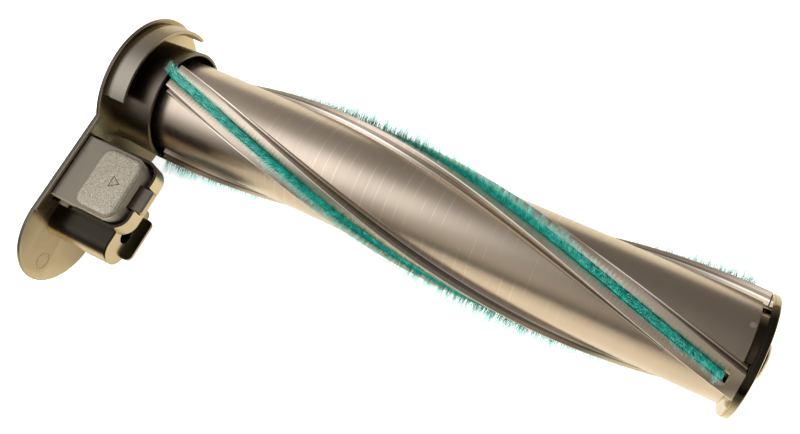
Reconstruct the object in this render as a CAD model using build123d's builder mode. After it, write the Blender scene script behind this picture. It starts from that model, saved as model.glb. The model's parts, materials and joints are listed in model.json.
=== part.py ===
from build123d import *
from math import asin, atan2, cos, hypot, sin, sqrt
import os

# Brush roller of a vacuum floor head, with the side cap that carries it and lets it out.
# +X runs along the roller from the side cap to the drive end, +Z is up with the roller lying on a floor.
# The origin is on the roller's axis, on the inner face of the side cap's plate.

# Roller tube
TUBE_RADIUS = 19.0
TUBE_WALL = 2.4
TUBE_START = 8.6
TUBE_LENGTH = 237.0

# Twisted rails on the tube
RAIL_COUNT = 3
RAIL_HEIGHT = 3.4
RAIL_WIDTH = 10.6
RAIL_GAP = 1.9
RAIL_OVERHANG = 1.5
RAIL_SINK = 1.56
LEDGE_HEIGHT = 0.5
LEDGE_WIDTH = 12.6
TWIST_PITCH = 472.0
FIRST_RAIL_ANGLE = 87.6

# Bristle strips in the rails
THROAT_WIDTH = 3.2
THROAT_DEPTH = 1.5
POCKET_WIDTH = 6.4
POCKET_DEPTH = 1.5
SLOT_END_WALL = 4.3
STRIP_CLEARANCE = 0.08
STRIP_END_GAP = 1.0
BRISTLE_LENGTH = 4.2
BRISTLE_FLARE = 0.6
BRISTLE_START_GAP = 0.6

# Side cap: round plate with an arm, collar round the roller's end, arc wall that enters the floor head
PLATE_THICKNESS = 1.4
PLATE_MARGIN = 1.6
PLATE_TOP = 20.0
PLATE_OUTER_ROUND = 0.7
PLATE_INNER_ROUND = 0.4
LIP_WIDTH = 1.5
LIP_HEIGHT = 0.5
LIP_INSET = 0.4
LOBE_RADIUS = 22.4
LOBE_REACH = 65.5
ARC_RADIUS = 29.3
ARC_WALL = 1.4
ARC_WIDTH = 9.1
ARC_GROOVE_WIDTH = 2.6
ARC_GROOVE_DEPTH = 0.7
ARC_START_ANGLE = -84.8
ARC_SWEEP_ANGLE = 118.8
COLLAR_LENGTH = 17.3
COLLAR_GAP = 2.6
COLLAR_WALL = 1.3
COLLAR_DRAFT = 1.1
RIB_COUNT = 6
RIB_THICKNESS = 1.4
RIB_HEIGHT = 5.0
EJECTOR_RADIUS = 3.3
EJECTOR_DEPTH = 0.2
EJECTOR_REACH = 80.0
EJECTOR_RISE = -2.5

# Axle and ball bearing at the cap end
HUB_RADIUS = 7.0
HUB_LENGTH = 12.0
AXLE_RADIUS = 3.0
AXLE_NOSE = 1.6
AXLE_NOSE_CHAMFER = 0.5
SPACER_LENGTH = 2.0
SPACER_WALL = 1.7
BEARING_RADIUS = 9.5
BEARING_WIDTH = 6.0
BALL_COUNT = 7
BALL_RADIUS = 1.6
RACE_CLEARANCE = 0.15
RACE_DEPTH = 0.6
CAGE_CLEARANCE = 0.3
CAGE_POCKET_CLEARANCE = 0.18
CAGE_WEB = 0.5
SHIELD_THICKNESS = 0.3
SHIELD_INSET = 0.15
CLIP_THICKNESS = 0.8
CLIP_WIDTH = 2.2
CLIP_GROOVE = 0.6
CLIP_OPENING = 4.0

# Plug that holds the bearing in the tube
PLUG_SHOULDER = 1.5
PLUG_ROOM = 1.6
PLUG_FLOOR = 3.0
PLUG_SKIN = 2.2
PLUG_RECESS_DEPTH = 12.0

# Drive hub at the far end
HUB_PLUG_LENGTH = 18.0
HUB_SKIN = 2.2
HUB_WEB = 3.0
NECK_RADIUS = 16.9
NECK_LENGTH = 1.7
FLANGE_RADIUS = 22.7
FLANGE_STEP = 0.4
FLANGE_STEP_WIDTH = 0.8
FLANGE_WIDTH = 2.9
FLANGE_ROUND = 0.7
FACE_RECESS = 1.0
FACE_RIM = 3.2
BOSS_RADIUS = 7.4
BOSS_LENGTH = 3.8
BOSS_CHAMFER = 0.8
SOCKET_RADIUS = 4.6
SOCKET_DEPTH = 14.0
KEYWAY_COUNT = 3
KEYWAY_WIDTH = 2.0
KEYWAY_DEPTH = 1.4
PIN_RADIUS = 1.1
PIN_INSET = 1.7
PIN_RAIL_ANGLE = 63.4
PIN_LENGTH = 4.6
PIN_CLEARANCE = 0.03

# Release button and its tray, measured from the axis: reach runs out along the arm, rise square to it
BUTTON_REACH = 31.3
BUTTON_WIDTH = 26.4
BUTTON_LENGTH = 27.7
BUTTON_BACK_GAP = 0.3
BUTTON_TOP = 17.5
BUTTON_DEPTH = 8.6
BUTTON_ROOF = 1.5
BUTTON_WALL = 1.3
BUTTON_CORNER = 5.0
BUTTON_EDGE_ROUND = 0.6
BUTTON_TRAVEL = 3.0
PAD_SIDE_MARGIN = 1.0
PAD_FRONT_MARGIN = 0.5
PAD_BACK = 9.8
PAD_CORNER = 4.0
PAD_HEIGHT = 0.5
PAD_SLOPE_ANGLE = 50.0
ARROW_CORNERS = 3
ARROW_SIZE = 2.3
ARROW_LINE = 0.35
ARROW_DEPTH = 0.3
ARROW_PLACE = 20.5
ARROW_SIDE_SHIFT = 0.6
TRAY_CLEARANCE = 0.35
TRAY_STOP_GAP = 0.3
TRAY_WALL = 1.1
TRAY_RIM = 14.4
TRAY_FLOOR_GAP = 0.7
TRAY_FLOOR = 1.2
LUG_START = 3.2
LUG_LENGTH = 3.0
LUG_HEIGHT = 2.0
LUG_PLAY = 0.4

# Latch slide under the button, with the tongue that shows in the tray's notch
SLIDE_START = 12.0
SLIDE_GAP = 0.3
TONGUE_WIDTH = 9.4
TONGUE_TOP = 13.2
TONGUE_THICKNESS = 3.0
TONGUE_REACH_OUT = 1.8
TONGUE_CHAMFER = 0.5
TONGUE_PLAY = 0.4
PEG_RADIUS = 1.2
PEG_LENGTH = 3.0
PEG_SPACING = 7.0
PEG_CLEARANCE = 0.03

# Return springs
SPRING_RADIUS = 1.8
SPRING_WIRE = 0.3
SPRING_TURNS = 5
SPRING_WIRE_SIDES = 6
SPRING_INSET = 4.2
SPRING_RISE = 12.2
SPRING_START = 8.0
SPRING_LENGTH = 12.0
SPRING_SEAT = 1.3
SPRING_POST = 2.0

# Block under the tray, with the screw that holds it to the plate and a locating foot
BLOCK_NEAR = 44.6
BLOCK_FAR = 69.8
BLOCK_TOP = 9.0
BLOCK_BOTTOM = -5.8
BLOCK_LENGTH = 27.3
BLOCK_WALL = 1.8
BLOCK_TOP_ROUND = 6.0
BLOCK_FAR_ROUND = 6.0
BLOCK_NEAR_ROUND = 2.6
BLOCK_END_ROUND = 0.6
FOOT_LENGTH = 3.4
FOOT_NEAR = 47.4
FOOT_FAR = 65.2
FOOT_THICKNESS = 1.3
FOOT_CORNER = 2.4
SCREW_REACH = 57.8
SCREW_RISE = 1.6
SCREW_ACCESS_RADIUS = 3.0
SCREW_TUBE_WALL = 1.5
SCREW_SEAT = 8.0
SCREW_WEB = 1.8
SCREW_HEAD_RADIUS = 2.7
SCREW_HEAD_HEIGHT = 2.0
SCREW_RADIUS = 1.4
SCREW_BOSS_RADIUS = 3.1
SCREW_FIT = 0.1
SCREW_TIP = 1.0
SCREW_SLOT_WIDTH = 0.7
SCREW_SLOT_LENGTH = 3.8
SCREW_SLOT_DEPTH = 0.9

# Places along the axis
TUBE_END = TUBE_START + TUBE_LENGTH
RAIL_START = COLLAR_LENGTH + RAIL_GAP
RAIL_END = TUBE_END + RAIL_OVERHANG
SLOT_END = RAIL_END - SLOT_END_WALL
BEARING_START = HUB_LENGTH + SPACER_LENGTH
BEARING_MIDDLE = BEARING_START + BEARING_WIDTH / 2
BEARING_END = BEARING_START + BEARING_WIDTH
AXLE_END = BEARING_END + CLIP_THICKNESS + AXLE_NOSE
PLUG_END = AXLE_END + PLUG_ROOM + PLUG_FLOOR
NECK_END = TUBE_END + NECK_LENGTH
FLANGE_END = NECK_END + FLANGE_WIDTH
BOSS_END = FLANGE_END + BOSS_LENGTH

# Radii about the axis
TUBE_BORE = TUBE_RADIUS - TUBE_WALL
RAIL_ROOT = TUBE_RADIUS - RAIL_SINK
RAIL_TOP = TUBE_RADIUS + RAIL_HEIGHT
LEDGE_TOP = TUBE_RADIUS + LEDGE_HEIGHT
POCKET_TOP = RAIL_TOP - THROAT_DEPTH
POCKET_FLOOR = POCKET_TOP - POCKET_DEPTH
BRISTLE_TIP = RAIL_TOP + BRISTLE_LENGTH
COLLAR_BORE = TUBE_RADIUS + COLLAR_GAP
PLATE_RADIUS = ARC_RADIUS + PLATE_MARGIN
BALL_CIRCLE = (AXLE_RADIUS + BEARING_RADIUS) / 2
RACE_RADIUS = BALL_RADIUS + RACE_CLEARANCE
INNER_LAND = BALL_CIRCLE - BALL_RADIUS + RACE_DEPTH
OUTER_LAND = BALL_CIRCLE + BALL_RADIUS - RACE_DEPTH

# Tray and button places on the arm
BUTTON_FAR = BUTTON_REACH + BUTTON_WIDTH
BUTTON_MIDDLE = BUTTON_REACH + BUTTON_WIDTH / 2
BUTTON_END = BUTTON_BACK_GAP + BUTTON_LENGTH
PAD_FRONT = BUTTON_END - PAD_FRONT_MARGIN
BUTTON_BOTTOM = BUTTON_TOP - BUTTON_DEPTH
BUTTON_CEILING = BUTTON_TOP - BUTTON_ROOF
TRAY_FLOOR_TOP = BUTTON_BOTTOM - TRAY_FLOOR_GAP
TRAY_BOTTOM = TRAY_FLOOR_TOP - TRAY_FLOOR
TRAY_STOP = BUTTON_END + BUTTON_TRAVEL + TRAY_STOP_GAP
TRAY_END = TRAY_STOP + TRAY_WALL
TONGUE_END = TRAY_END + TONGUE_REACH_OUT
TONGUE_BOTTOM = TONGUE_TOP - TONGUE_THICKNESS
SPRING_END = SPRING_START + SPRING_LENGTH
SPRING_REACHES = (BUTTON_REACH + SPRING_INSET, BUTTON_FAR - SPRING_INSET)

# The plate's lower edge is tangent to its two rounds, and lies flat on the floor
LOBE_RISE = PLATE_TOP - LOBE_RADIUS
ARM_LENGTH = hypot(LOBE_REACH, LOBE_RISE)
REST_TILT = atan2(LOBE_RISE, LOBE_REACH) + asin((PLATE_RADIUS - LOBE_RADIUS) / ARM_LENGTH)
RISE = Vector(0, -sin(REST_TILT), cos(REST_TILT))
REACH = Vector(0, -cos(REST_TILT), -sin(REST_TILT))


def across(x):
    """Plane square to the axis at x, with its own x along +Y."""
    return Plane(origin=(x, 0, 0), x_dir=(0, 1, 0), z_dir=(1, 0, 0))


def cap_plane(x):
    """Plane square to the axis at x, drawn in (rise, reach)."""
    return Plane(origin=(x, 0, 0), x_dir=RISE, z_dir=(1, 0, 0))


def deck_plane(rise):
    """Plane parallel to the button's top, drawn in (reach, x)."""
    return Plane(origin=RISE * rise, x_dir=REACH, z_dir=RISE)


def rail_angle(x):
    """Direction of the first rail's middle at x, from +Y towards +Z."""
    return FIRST_RAIL_ANGLE + 360 * (x - RAIL_START) / TWIST_PITCH


def twisted(start, end, mode=Mode.ADD):
    """Sweep the sections drawn at start along the axis to end, turning with the rails."""
    spine = Edge.make_line((start, 0, 0), (end, 0, 0))
    guide = Edge.make_helix(TWIST_PITCH, end - start, TUBE_RADIUS, (start, 0, 0), (1, 0, 0))
    sweep(path=spine, binormal=guide, mode=mode)


def deck_rectangle(reach_from, reach_to, x_from, x_to, corner=0):
    """Rectangle on the deck, with its two corners at the far x rounded."""
    with Locations((reach_from, x_from)):
        Rectangle(reach_to - reach_from, x_to - x_from, align=(Align.MIN, Align.MIN))
    if corner:
        fillet(vertices().group_by(Axis.Y)[-1], corner)


def save(part, name):
    """Label a finished piece and write it under its own name."""
    part.label = name
    export_step(part, f"parts/{name}.step")


os.makedirs("parts", exist_ok=True)

# Roller tube: a plain tube with slotted rails wound round it, closed at the drive end
with BuildPart() as roller_tube:
    with BuildSketch(across(TUBE_START)):
        Circle(TUBE_RADIUS)
        Circle(TUBE_BORE, mode=Mode.SUBTRACT)
    extrude(amount=TUBE_LENGTH)
    with BuildSketch(across(RAIL_START)):
        with PolarLocations(RAIL_TOP, RAIL_COUNT, rail_angle(RAIL_START)):
            Rectangle(RAIL_TOP - RAIL_ROOT, RAIL_WIDTH, align=(Align.MAX, Align.CENTER))
        with PolarLocations(LEDGE_TOP, RAIL_COUNT, rail_angle(RAIL_START)):
            Rectangle(LEDGE_TOP - RAIL_ROOT, LEDGE_WIDTH, align=(Align.MAX, Align.CENTER))
    twisted(RAIL_START, RAIL_END)
    slot_depth = THROAT_DEPTH + POCKET_DEPTH
    with BuildSketch(across(RAIL_START - RAIL_GAP)):
        with PolarLocations(POCKET_FLOOR, RAIL_COUNT, rail_angle(RAIL_START - RAIL_GAP)):
            Rectangle(POCKET_DEPTH, POCKET_WIDTH, align=(Align.MIN, Align.CENTER))
            Rectangle(slot_depth + RAIL_HEIGHT, THROAT_WIDTH, align=(Align.MIN, Align.CENTER))
    twisted(RAIL_START - RAIL_GAP, SLOT_END, mode=Mode.SUBTRACT)
    with BuildSketch(Plane(origin=(TUBE_END - PIN_INSET, 0, 0), x_dir=(1, 0, 0), z_dir=(0, 0, 1))):
        Circle(PIN_RADIUS + PIN_CLEARANCE)
    pin_hole = extrude(amount=TUBE_RADIUS * 2, mode=Mode.PRIVATE)
    pin_angle = rail_angle(TUBE_END - PIN_INSET) + PIN_RAIL_ANGLE - 90
    for index in range(RAIL_COUNT):
        add(pin_hole.rotate(Axis.X, pin_angle + index * 360 / RAIL_COUNT), mode=Mode.SUBTRACT)
save(roller_tube.part, "roller_tube")

# Bristle strips: a flat backing that slides into each rail's pocket, and the pile that stands on it
BACKING_TOP = POCKET_TOP - STRIP_CLEARANCE
BACKING_FLOOR = POCKET_FLOOR + STRIP_CLEARANCE
BACKING_WIDTH = POCKET_WIDTH - 2 * STRIP_CLEARANCE
PILE_WIDTH = THROAT_WIDTH - 2 * STRIP_CLEARANCE
PILE_START = COLLAR_LENGTH + BRISTLE_START_GAP
STRIP_END = SLOT_END - STRIP_END_GAP
FLARE_START = RAIL_TOP + BRISTLE_FLARE / 2
for index in range(RAIL_COUNT):
    turn = index * 360 / RAIL_COUNT
    with BuildPart() as bristle_backing:
        with BuildSketch(across(RAIL_START)):
            with PolarLocations(BACKING_FLOOR, 1, rail_angle(RAIL_START) + turn):
                Rectangle(BACKING_TOP - BACKING_FLOOR, BACKING_WIDTH, align=(Align.MIN, Align.CENTER))
        twisted(RAIL_START, STRIP_END)
    save(bristle_backing.part, f"bristle_backing_{index + 1}")

    with BuildPart() as bristle_pile:
        with BuildSketch(across(PILE_START)):
            with PolarLocations(0, 1, rail_angle(PILE_START) + turn):
                Polygon(
                    (POCKET_TOP, -PILE_WIDTH / 2),
                    (FLARE_START, -PILE_WIDTH / 2),
                    (BRISTLE_TIP, -PILE_WIDTH / 2 - BRISTLE_FLARE),
                    (BRISTLE_TIP, PILE_WIDTH / 2 + BRISTLE_FLARE),
                    (FLARE_START, PILE_WIDTH / 2),
                    (POCKET_TOP, PILE_WIDTH / 2),
                    align=None,
                )
        twisted(PILE_START, STRIP_END)
    save(bristle_pile.part, f"bristle_pile_{index + 1}")

# Drive hub: plug in the tube, stepped flange outside it, and a keyed socket for the motor's dog
HUB_PLUG_START = TUBE_END - HUB_PLUG_LENGTH
SOCKET_FLOOR = BOSS_END - SOCKET_DEPTH
with BuildPart() as drive_hub:
    with BuildSketch(Plane.XZ):
        Polygon(
            (SOCKET_FLOOR - HUB_WEB, 0),
            (SOCKET_FLOOR - HUB_WEB, BOSS_RADIUS),
            (NECK_END - HUB_WEB, BOSS_RADIUS),
            (NECK_END - HUB_WEB, TUBE_BORE - HUB_SKIN),
            (HUB_PLUG_START, TUBE_BORE - HUB_SKIN),
            (HUB_PLUG_START, TUBE_BORE),
            (TUBE_END, TUBE_BORE),
            (TUBE_END, NECK_RADIUS),
            (NECK_END, NECK_RADIUS),
            (NECK_END, FLANGE_RADIUS - FLANGE_STEP),
            (NECK_END + FLANGE_STEP_WIDTH, FLANGE_RADIUS - FLANGE_STEP),
            (NECK_END + FLANGE_STEP_WIDTH, FLANGE_RADIUS),
            (FLANGE_END, FLANGE_RADIUS),
            (FLANGE_END, FLANGE_RADIUS - FACE_RIM),
            (FLANGE_END - FACE_RECESS, FLANGE_RADIUS - FACE_RIM),
            (FLANGE_END - FACE_RECESS, BOSS_RADIUS),
            (BOSS_END - BOSS_CHAMFER, BOSS_RADIUS),
            (BOSS_END, BOSS_RADIUS - BOSS_CHAMFER),
            (BOSS_END, 0),
            align=None,
        )
    revolve(axis=Axis.X)
    rims = edges().filter_by(GeomType.CIRCLE).group_by(SortBy.RADIUS)[-1]
    fillet(rims.sort_by(Axis.X)[-1], FLANGE_ROUND)
    with BuildSketch(across(BOSS_END)):
        Circle(SOCKET_RADIUS)
        with PolarLocations(0, KEYWAY_COUNT):
            Rectangle(SOCKET_RADIUS + KEYWAY_DEPTH, KEYWAY_WIDTH, align=(Align.MIN, Align.CENTER))
    extrude(amount=-SOCKET_DEPTH, mode=Mode.SUBTRACT)
    for index in range(RAIL_COUNT):
        add(pin_hole.rotate(Axis.X, pin_angle + index * 360 / RAIL_COUNT), mode=Mode.SUBTRACT)
save(drive_hub.part, "drive_hub")

# Pins through the tube's wall into the drive hub
with BuildPart() as hub_pins:
    for index in range(RAIL_COUNT):
        angle = pin_angle + 90 + index * 360 / RAIL_COUNT
        with BuildSketch(across(TUBE_END - PIN_INSET)):
            with PolarLocations(TUBE_RADIUS - PIN_LENGTH, 1, angle):
                Rectangle(PIN_LENGTH, PIN_RADIUS, align=(Align.MIN, Align.MIN))
        pin_direction = Vector(0, 1, 0).rotate(Axis.X, angle)
        revolve(axis=Axis((TUBE_END - PIN_INSET, 0, 0), pin_direction))
save(hub_pins.part, "hub_pins")

# Plug in the tube's cap end, with the bearing's seat
with BuildPart() as bearing_plug:
    with BuildSketch(Plane.XZ):
        Polygon(
            (TUBE_START, BEARING_RADIUS),
            (TUBE_START, BEARING_RADIUS + PLUG_SKIN),
            (TUBE_START + PLUG_RECESS_DEPTH, BEARING_RADIUS + PLUG_SKIN),
            (TUBE_START + PLUG_RECESS_DEPTH, TUBE_BORE - PLUG_SKIN),
            (TUBE_START, TUBE_BORE - PLUG_SKIN),
            (TUBE_START, TUBE_BORE),
            (PLUG_END, TUBE_BORE),
            (PLUG_END, 0),
            (PLUG_END - PLUG_FLOOR, 0),
            (PLUG_END - PLUG_FLOOR, BEARING_RADIUS - PLUG_SHOULDER),
            (BEARING_END, BEARING_RADIUS - PLUG_SHOULDER),
            (BEARING_END, BEARING_RADIUS),
            align=None,
        )
    revolve(axis=Axis.X)
save(bearing_plug.part, "bearing_plug")

# Ball bearing: two grooved rings, balls in a crown cage, and a shield on each side
with BuildPart() as bearing_outer_ring:
    with BuildSketch(Plane.XZ):
        with Locations((BEARING_MIDDLE, (OUTER_LAND + BEARING_RADIUS) / 2)):
            Rectangle(BEARING_WIDTH, BEARING_RADIUS - OUTER_LAND)
        with Locations((BEARING_MIDDLE, BALL_CIRCLE)):
            Circle(RACE_RADIUS, mode=Mode.SUBTRACT)
    revolve(axis=Axis.X)
save(bearing_outer_ring.part, "bearing_outer_ring")

with BuildPart() as bearing_inner_ring:
    with BuildSketch(Plane.XZ):
        with Locations((BEARING_MIDDLE, (AXLE_RADIUS + INNER_LAND) / 2)):
            Rectangle(BEARING_WIDTH, INNER_LAND - AXLE_RADIUS)
        with Locations((BEARING_MIDDLE, BALL_CIRCLE)):
            Circle(RACE_RADIUS, mode=Mode.SUBTRACT)
    revolve(axis=Axis.X)
save(bearing_inner_ring.part, "bearing_inner_ring")

with BuildPart() as bearing_shields:
    for shield_start in (
        BEARING_START + SHIELD_INSET,
        BEARING_END - SHIELD_INSET - SHIELD_THICKNESS,
    ):
        with BuildSketch(across(shield_start)):
            Circle(OUTER_LAND)
            Circle(INNER_LAND + CAGE_CLEARANCE, mode=Mode.SUBTRACT)
        extrude(amount=SHIELD_THICKNESS)
save(bearing_shields.part, "bearing_shields")

with BuildPart() as bearing_balls:
    with Locations(across(BEARING_MIDDLE)):
        with PolarLocations(BALL_CIRCLE, BALL_COUNT):
            Sphere(BALL_RADIUS)
save(bearing_balls.part, "bearing_balls")

CAGE_START = BEARING_MIDDLE - BALL_RADIUS - CAGE_POCKET_CLEARANCE - CAGE_WEB
with BuildPart() as ball_cage:
    with BuildSketch(across(CAGE_START)):
        Circle(OUTER_LAND - CAGE_CLEARANCE)
        Circle(INNER_LAND + CAGE_CLEARANCE, mode=Mode.SUBTRACT)
    extrude(amount=BEARING_MIDDLE - CAGE_START + BALL_RADIUS / 2)
    with Locations(across(BEARING_MIDDLE)):
        with PolarLocations(BALL_CIRCLE, BALL_COUNT):
            Sphere(BALL_RADIUS + CAGE_POCKET_CLEARANCE, mode=Mode.SUBTRACT)
save(ball_cage.part, "ball_cage")

# Stub axle, pressed into the side cap, with a groove for its clip
AXLE_START = PLATE_THICKNESS / 2
with BuildPart() as stub_axle:
    with BuildSketch(Plane.XZ):
        Polygon(
            (AXLE_START, 0),
            (AXLE_START, AXLE_RADIUS),
            (BEARING_END, AXLE_RADIUS),
            (BEARING_END, AXLE_RADIUS - CLIP_GROOVE),
            (BEARING_END + CLIP_THICKNESS, AXLE_RADIUS - CLIP_GROOVE),
            (BEARING_END + CLIP_THICKNESS, AXLE_RADIUS),
            (AXLE_END - AXLE_NOSE_CHAMFER, AXLE_RADIUS),
            (AXLE_END, AXLE_RADIUS - AXLE_NOSE_CHAMFER),
            (AXLE_END, 0),
            align=None,
        )
    revolve(axis=Axis.X)
save(stub_axle.part, "stub_axle")

with BuildPart() as axle_spacer:
    with BuildSketch(across(HUB_LENGTH)):
        Circle(AXLE_RADIUS + SPACER_WALL)
        Circle(AXLE_RADIUS, mode=Mode.SUBTRACT)
    extrude(amount=SPACER_LENGTH)
save(axle_spacer.part, "axle_spacer")

with BuildPart() as retaining_clip:
    with BuildSketch(across(BEARING_END)):
        Circle(AXLE_RADIUS - CLIP_GROOVE + CLIP_WIDTH)
        Circle(AXLE_RADIUS - CLIP_GROOVE, mode=Mode.SUBTRACT)
        Rectangle(AXLE_RADIUS + CLIP_WIDTH, CLIP_OPENING, align=(Align.MIN, Align.CENTER), mode=Mode.SUBTRACT)
    extrude(amount=CLIP_THICKNESS)
save(retaining_clip.part, "retaining_clip")

# Side cap: plate, arc wall, collar, hub for the axle and boss for the housing's screw in one moulding
LOBE_CENTRE = Vector(LOBE_RISE, LOBE_REACH)
FLOOR_NORMAL = Vector(-cos(REST_TILT), sin(REST_TILT))
PLATE_CORNER = (PLATE_TOP, sqrt(PLATE_RADIUS**2 - PLATE_TOP**2))
LOBE_BOTTOM = LOBE_CENTRE + FLOOR_NORMAL * LOBE_RADIUS
with BuildPart() as end_cap:
    with BuildSketch(cap_plane(-PLATE_THICKNESS)):
        with BuildLine():
            Line(PLATE_CORNER, (PLATE_TOP, LOBE_REACH))
            ThreePointArc((PLATE_TOP, LOBE_REACH), LOBE_CENTRE + Vector(0, LOBE_RADIUS), LOBE_BOTTOM)
            Line(LOBE_BOTTOM, FLOOR_NORMAL * PLATE_RADIUS)
            ThreePointArc(FLOOR_NORMAL * PLATE_RADIUS, (0, -PLATE_RADIUS), PLATE_CORNER)
        make_face()
    extrude(amount=PLATE_THICKNESS)
    fillet(faces().sort_by(Axis.X)[0].edges(), PLATE_OUTER_ROUND)
    fillet(faces().sort_by(Axis.X)[-1].edges(), PLATE_INNER_ROUND)
    with BuildSketch(cap_plane(0)):
        with Locations((PLATE_TOP - LIP_INSET, PLATE_CORNER[1] + LIP_INSET)):
            Rectangle(LIP_WIDTH, LOBE_REACH - PLATE_CORNER[1], align=(Align.MAX, Align.MIN))
    extrude(amount=LIP_HEIGHT)
    with BuildSketch(cap_plane(0)):
        with Locations((EJECTOR_RISE, EJECTOR_REACH)):
            Circle(EJECTOR_RADIUS)
    extrude(amount=-EJECTOR_DEPTH, mode=Mode.SUBTRACT)
    for arc_start, arc_end, arc_radius in (
        (0, ARC_GROOVE_WIDTH, ARC_RADIUS - ARC_GROOVE_DEPTH),
        (ARC_GROOVE_WIDTH, ARC_WIDTH, ARC_RADIUS),
    ):
        with BuildSketch(cap_plane(arc_start)):
            with BuildLine():
                outer_arc = CenterArc((0, 0), arc_radius, ARC_START_ANGLE, ARC_SWEEP_ANGLE)
                inner_arc = CenterArc((0, 0), ARC_RADIUS - ARC_WALL, ARC_START_ANGLE, ARC_SWEEP_ANGLE)
                Line(outer_arc @ 0, inner_arc @ 0)
                Line(outer_arc @ 1, inner_arc @ 1)
            make_face()
        extrude(amount=arc_end - arc_start)
    collar_root = -PLATE_THICKNESS / 2
    with BuildSketch(Plane.XZ):
        Polygon(
            (collar_root, COLLAR_BORE - COLLAR_DRAFT),
            (collar_root, COLLAR_BORE + COLLAR_WALL - COLLAR_DRAFT),
            (COLLAR_LENGTH, COLLAR_BORE + COLLAR_WALL),
            (COLLAR_LENGTH, COLLAR_BORE),
            align=None,
        )
    revolve(axis=Axis.X)
    with BuildSketch(cap_plane(0)):
        Circle(HUB_RADIUS)
    extrude(amount=HUB_LENGTH)
    with BuildSketch(cap_plane(0)):
        with PolarLocations(HUB_RADIUS - RIB_THICKNESS, RIB_COUNT):
            Rectangle(
                COLLAR_BORE - COLLAR_DRAFT - HUB_RADIUS + 2 * RIB_THICKNESS,
                RIB_THICKNESS,
                align=(Align.MIN, Align.CENTER),
            )
    extrude(amount=RIB_HEIGHT)
    with BuildSketch(cap_plane(0)):
        with Locations((SCREW_RISE, SCREW_REACH)):
            Circle(SCREW_BOSS_RADIUS)
    extrude(amount=SCREW_SEAT - SCREW_WEB)
    with BuildSketch(cap_plane(AXLE_START - PLATE_THICKNESS)):
        with Locations((SCREW_RISE, SCREW_REACH)):
            Circle(SCREW_RADIUS)
    extrude(amount=SCREW_SEAT + PLATE_THICKNESS, mode=Mode.SUBTRACT)
    with BuildSketch(cap_plane(AXLE_START)):
        Circle(AXLE_RADIUS)
    extrude(amount=HUB_LENGTH, mode=Mode.SUBTRACT)
save(end_cap.part, "end_cap")

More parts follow.
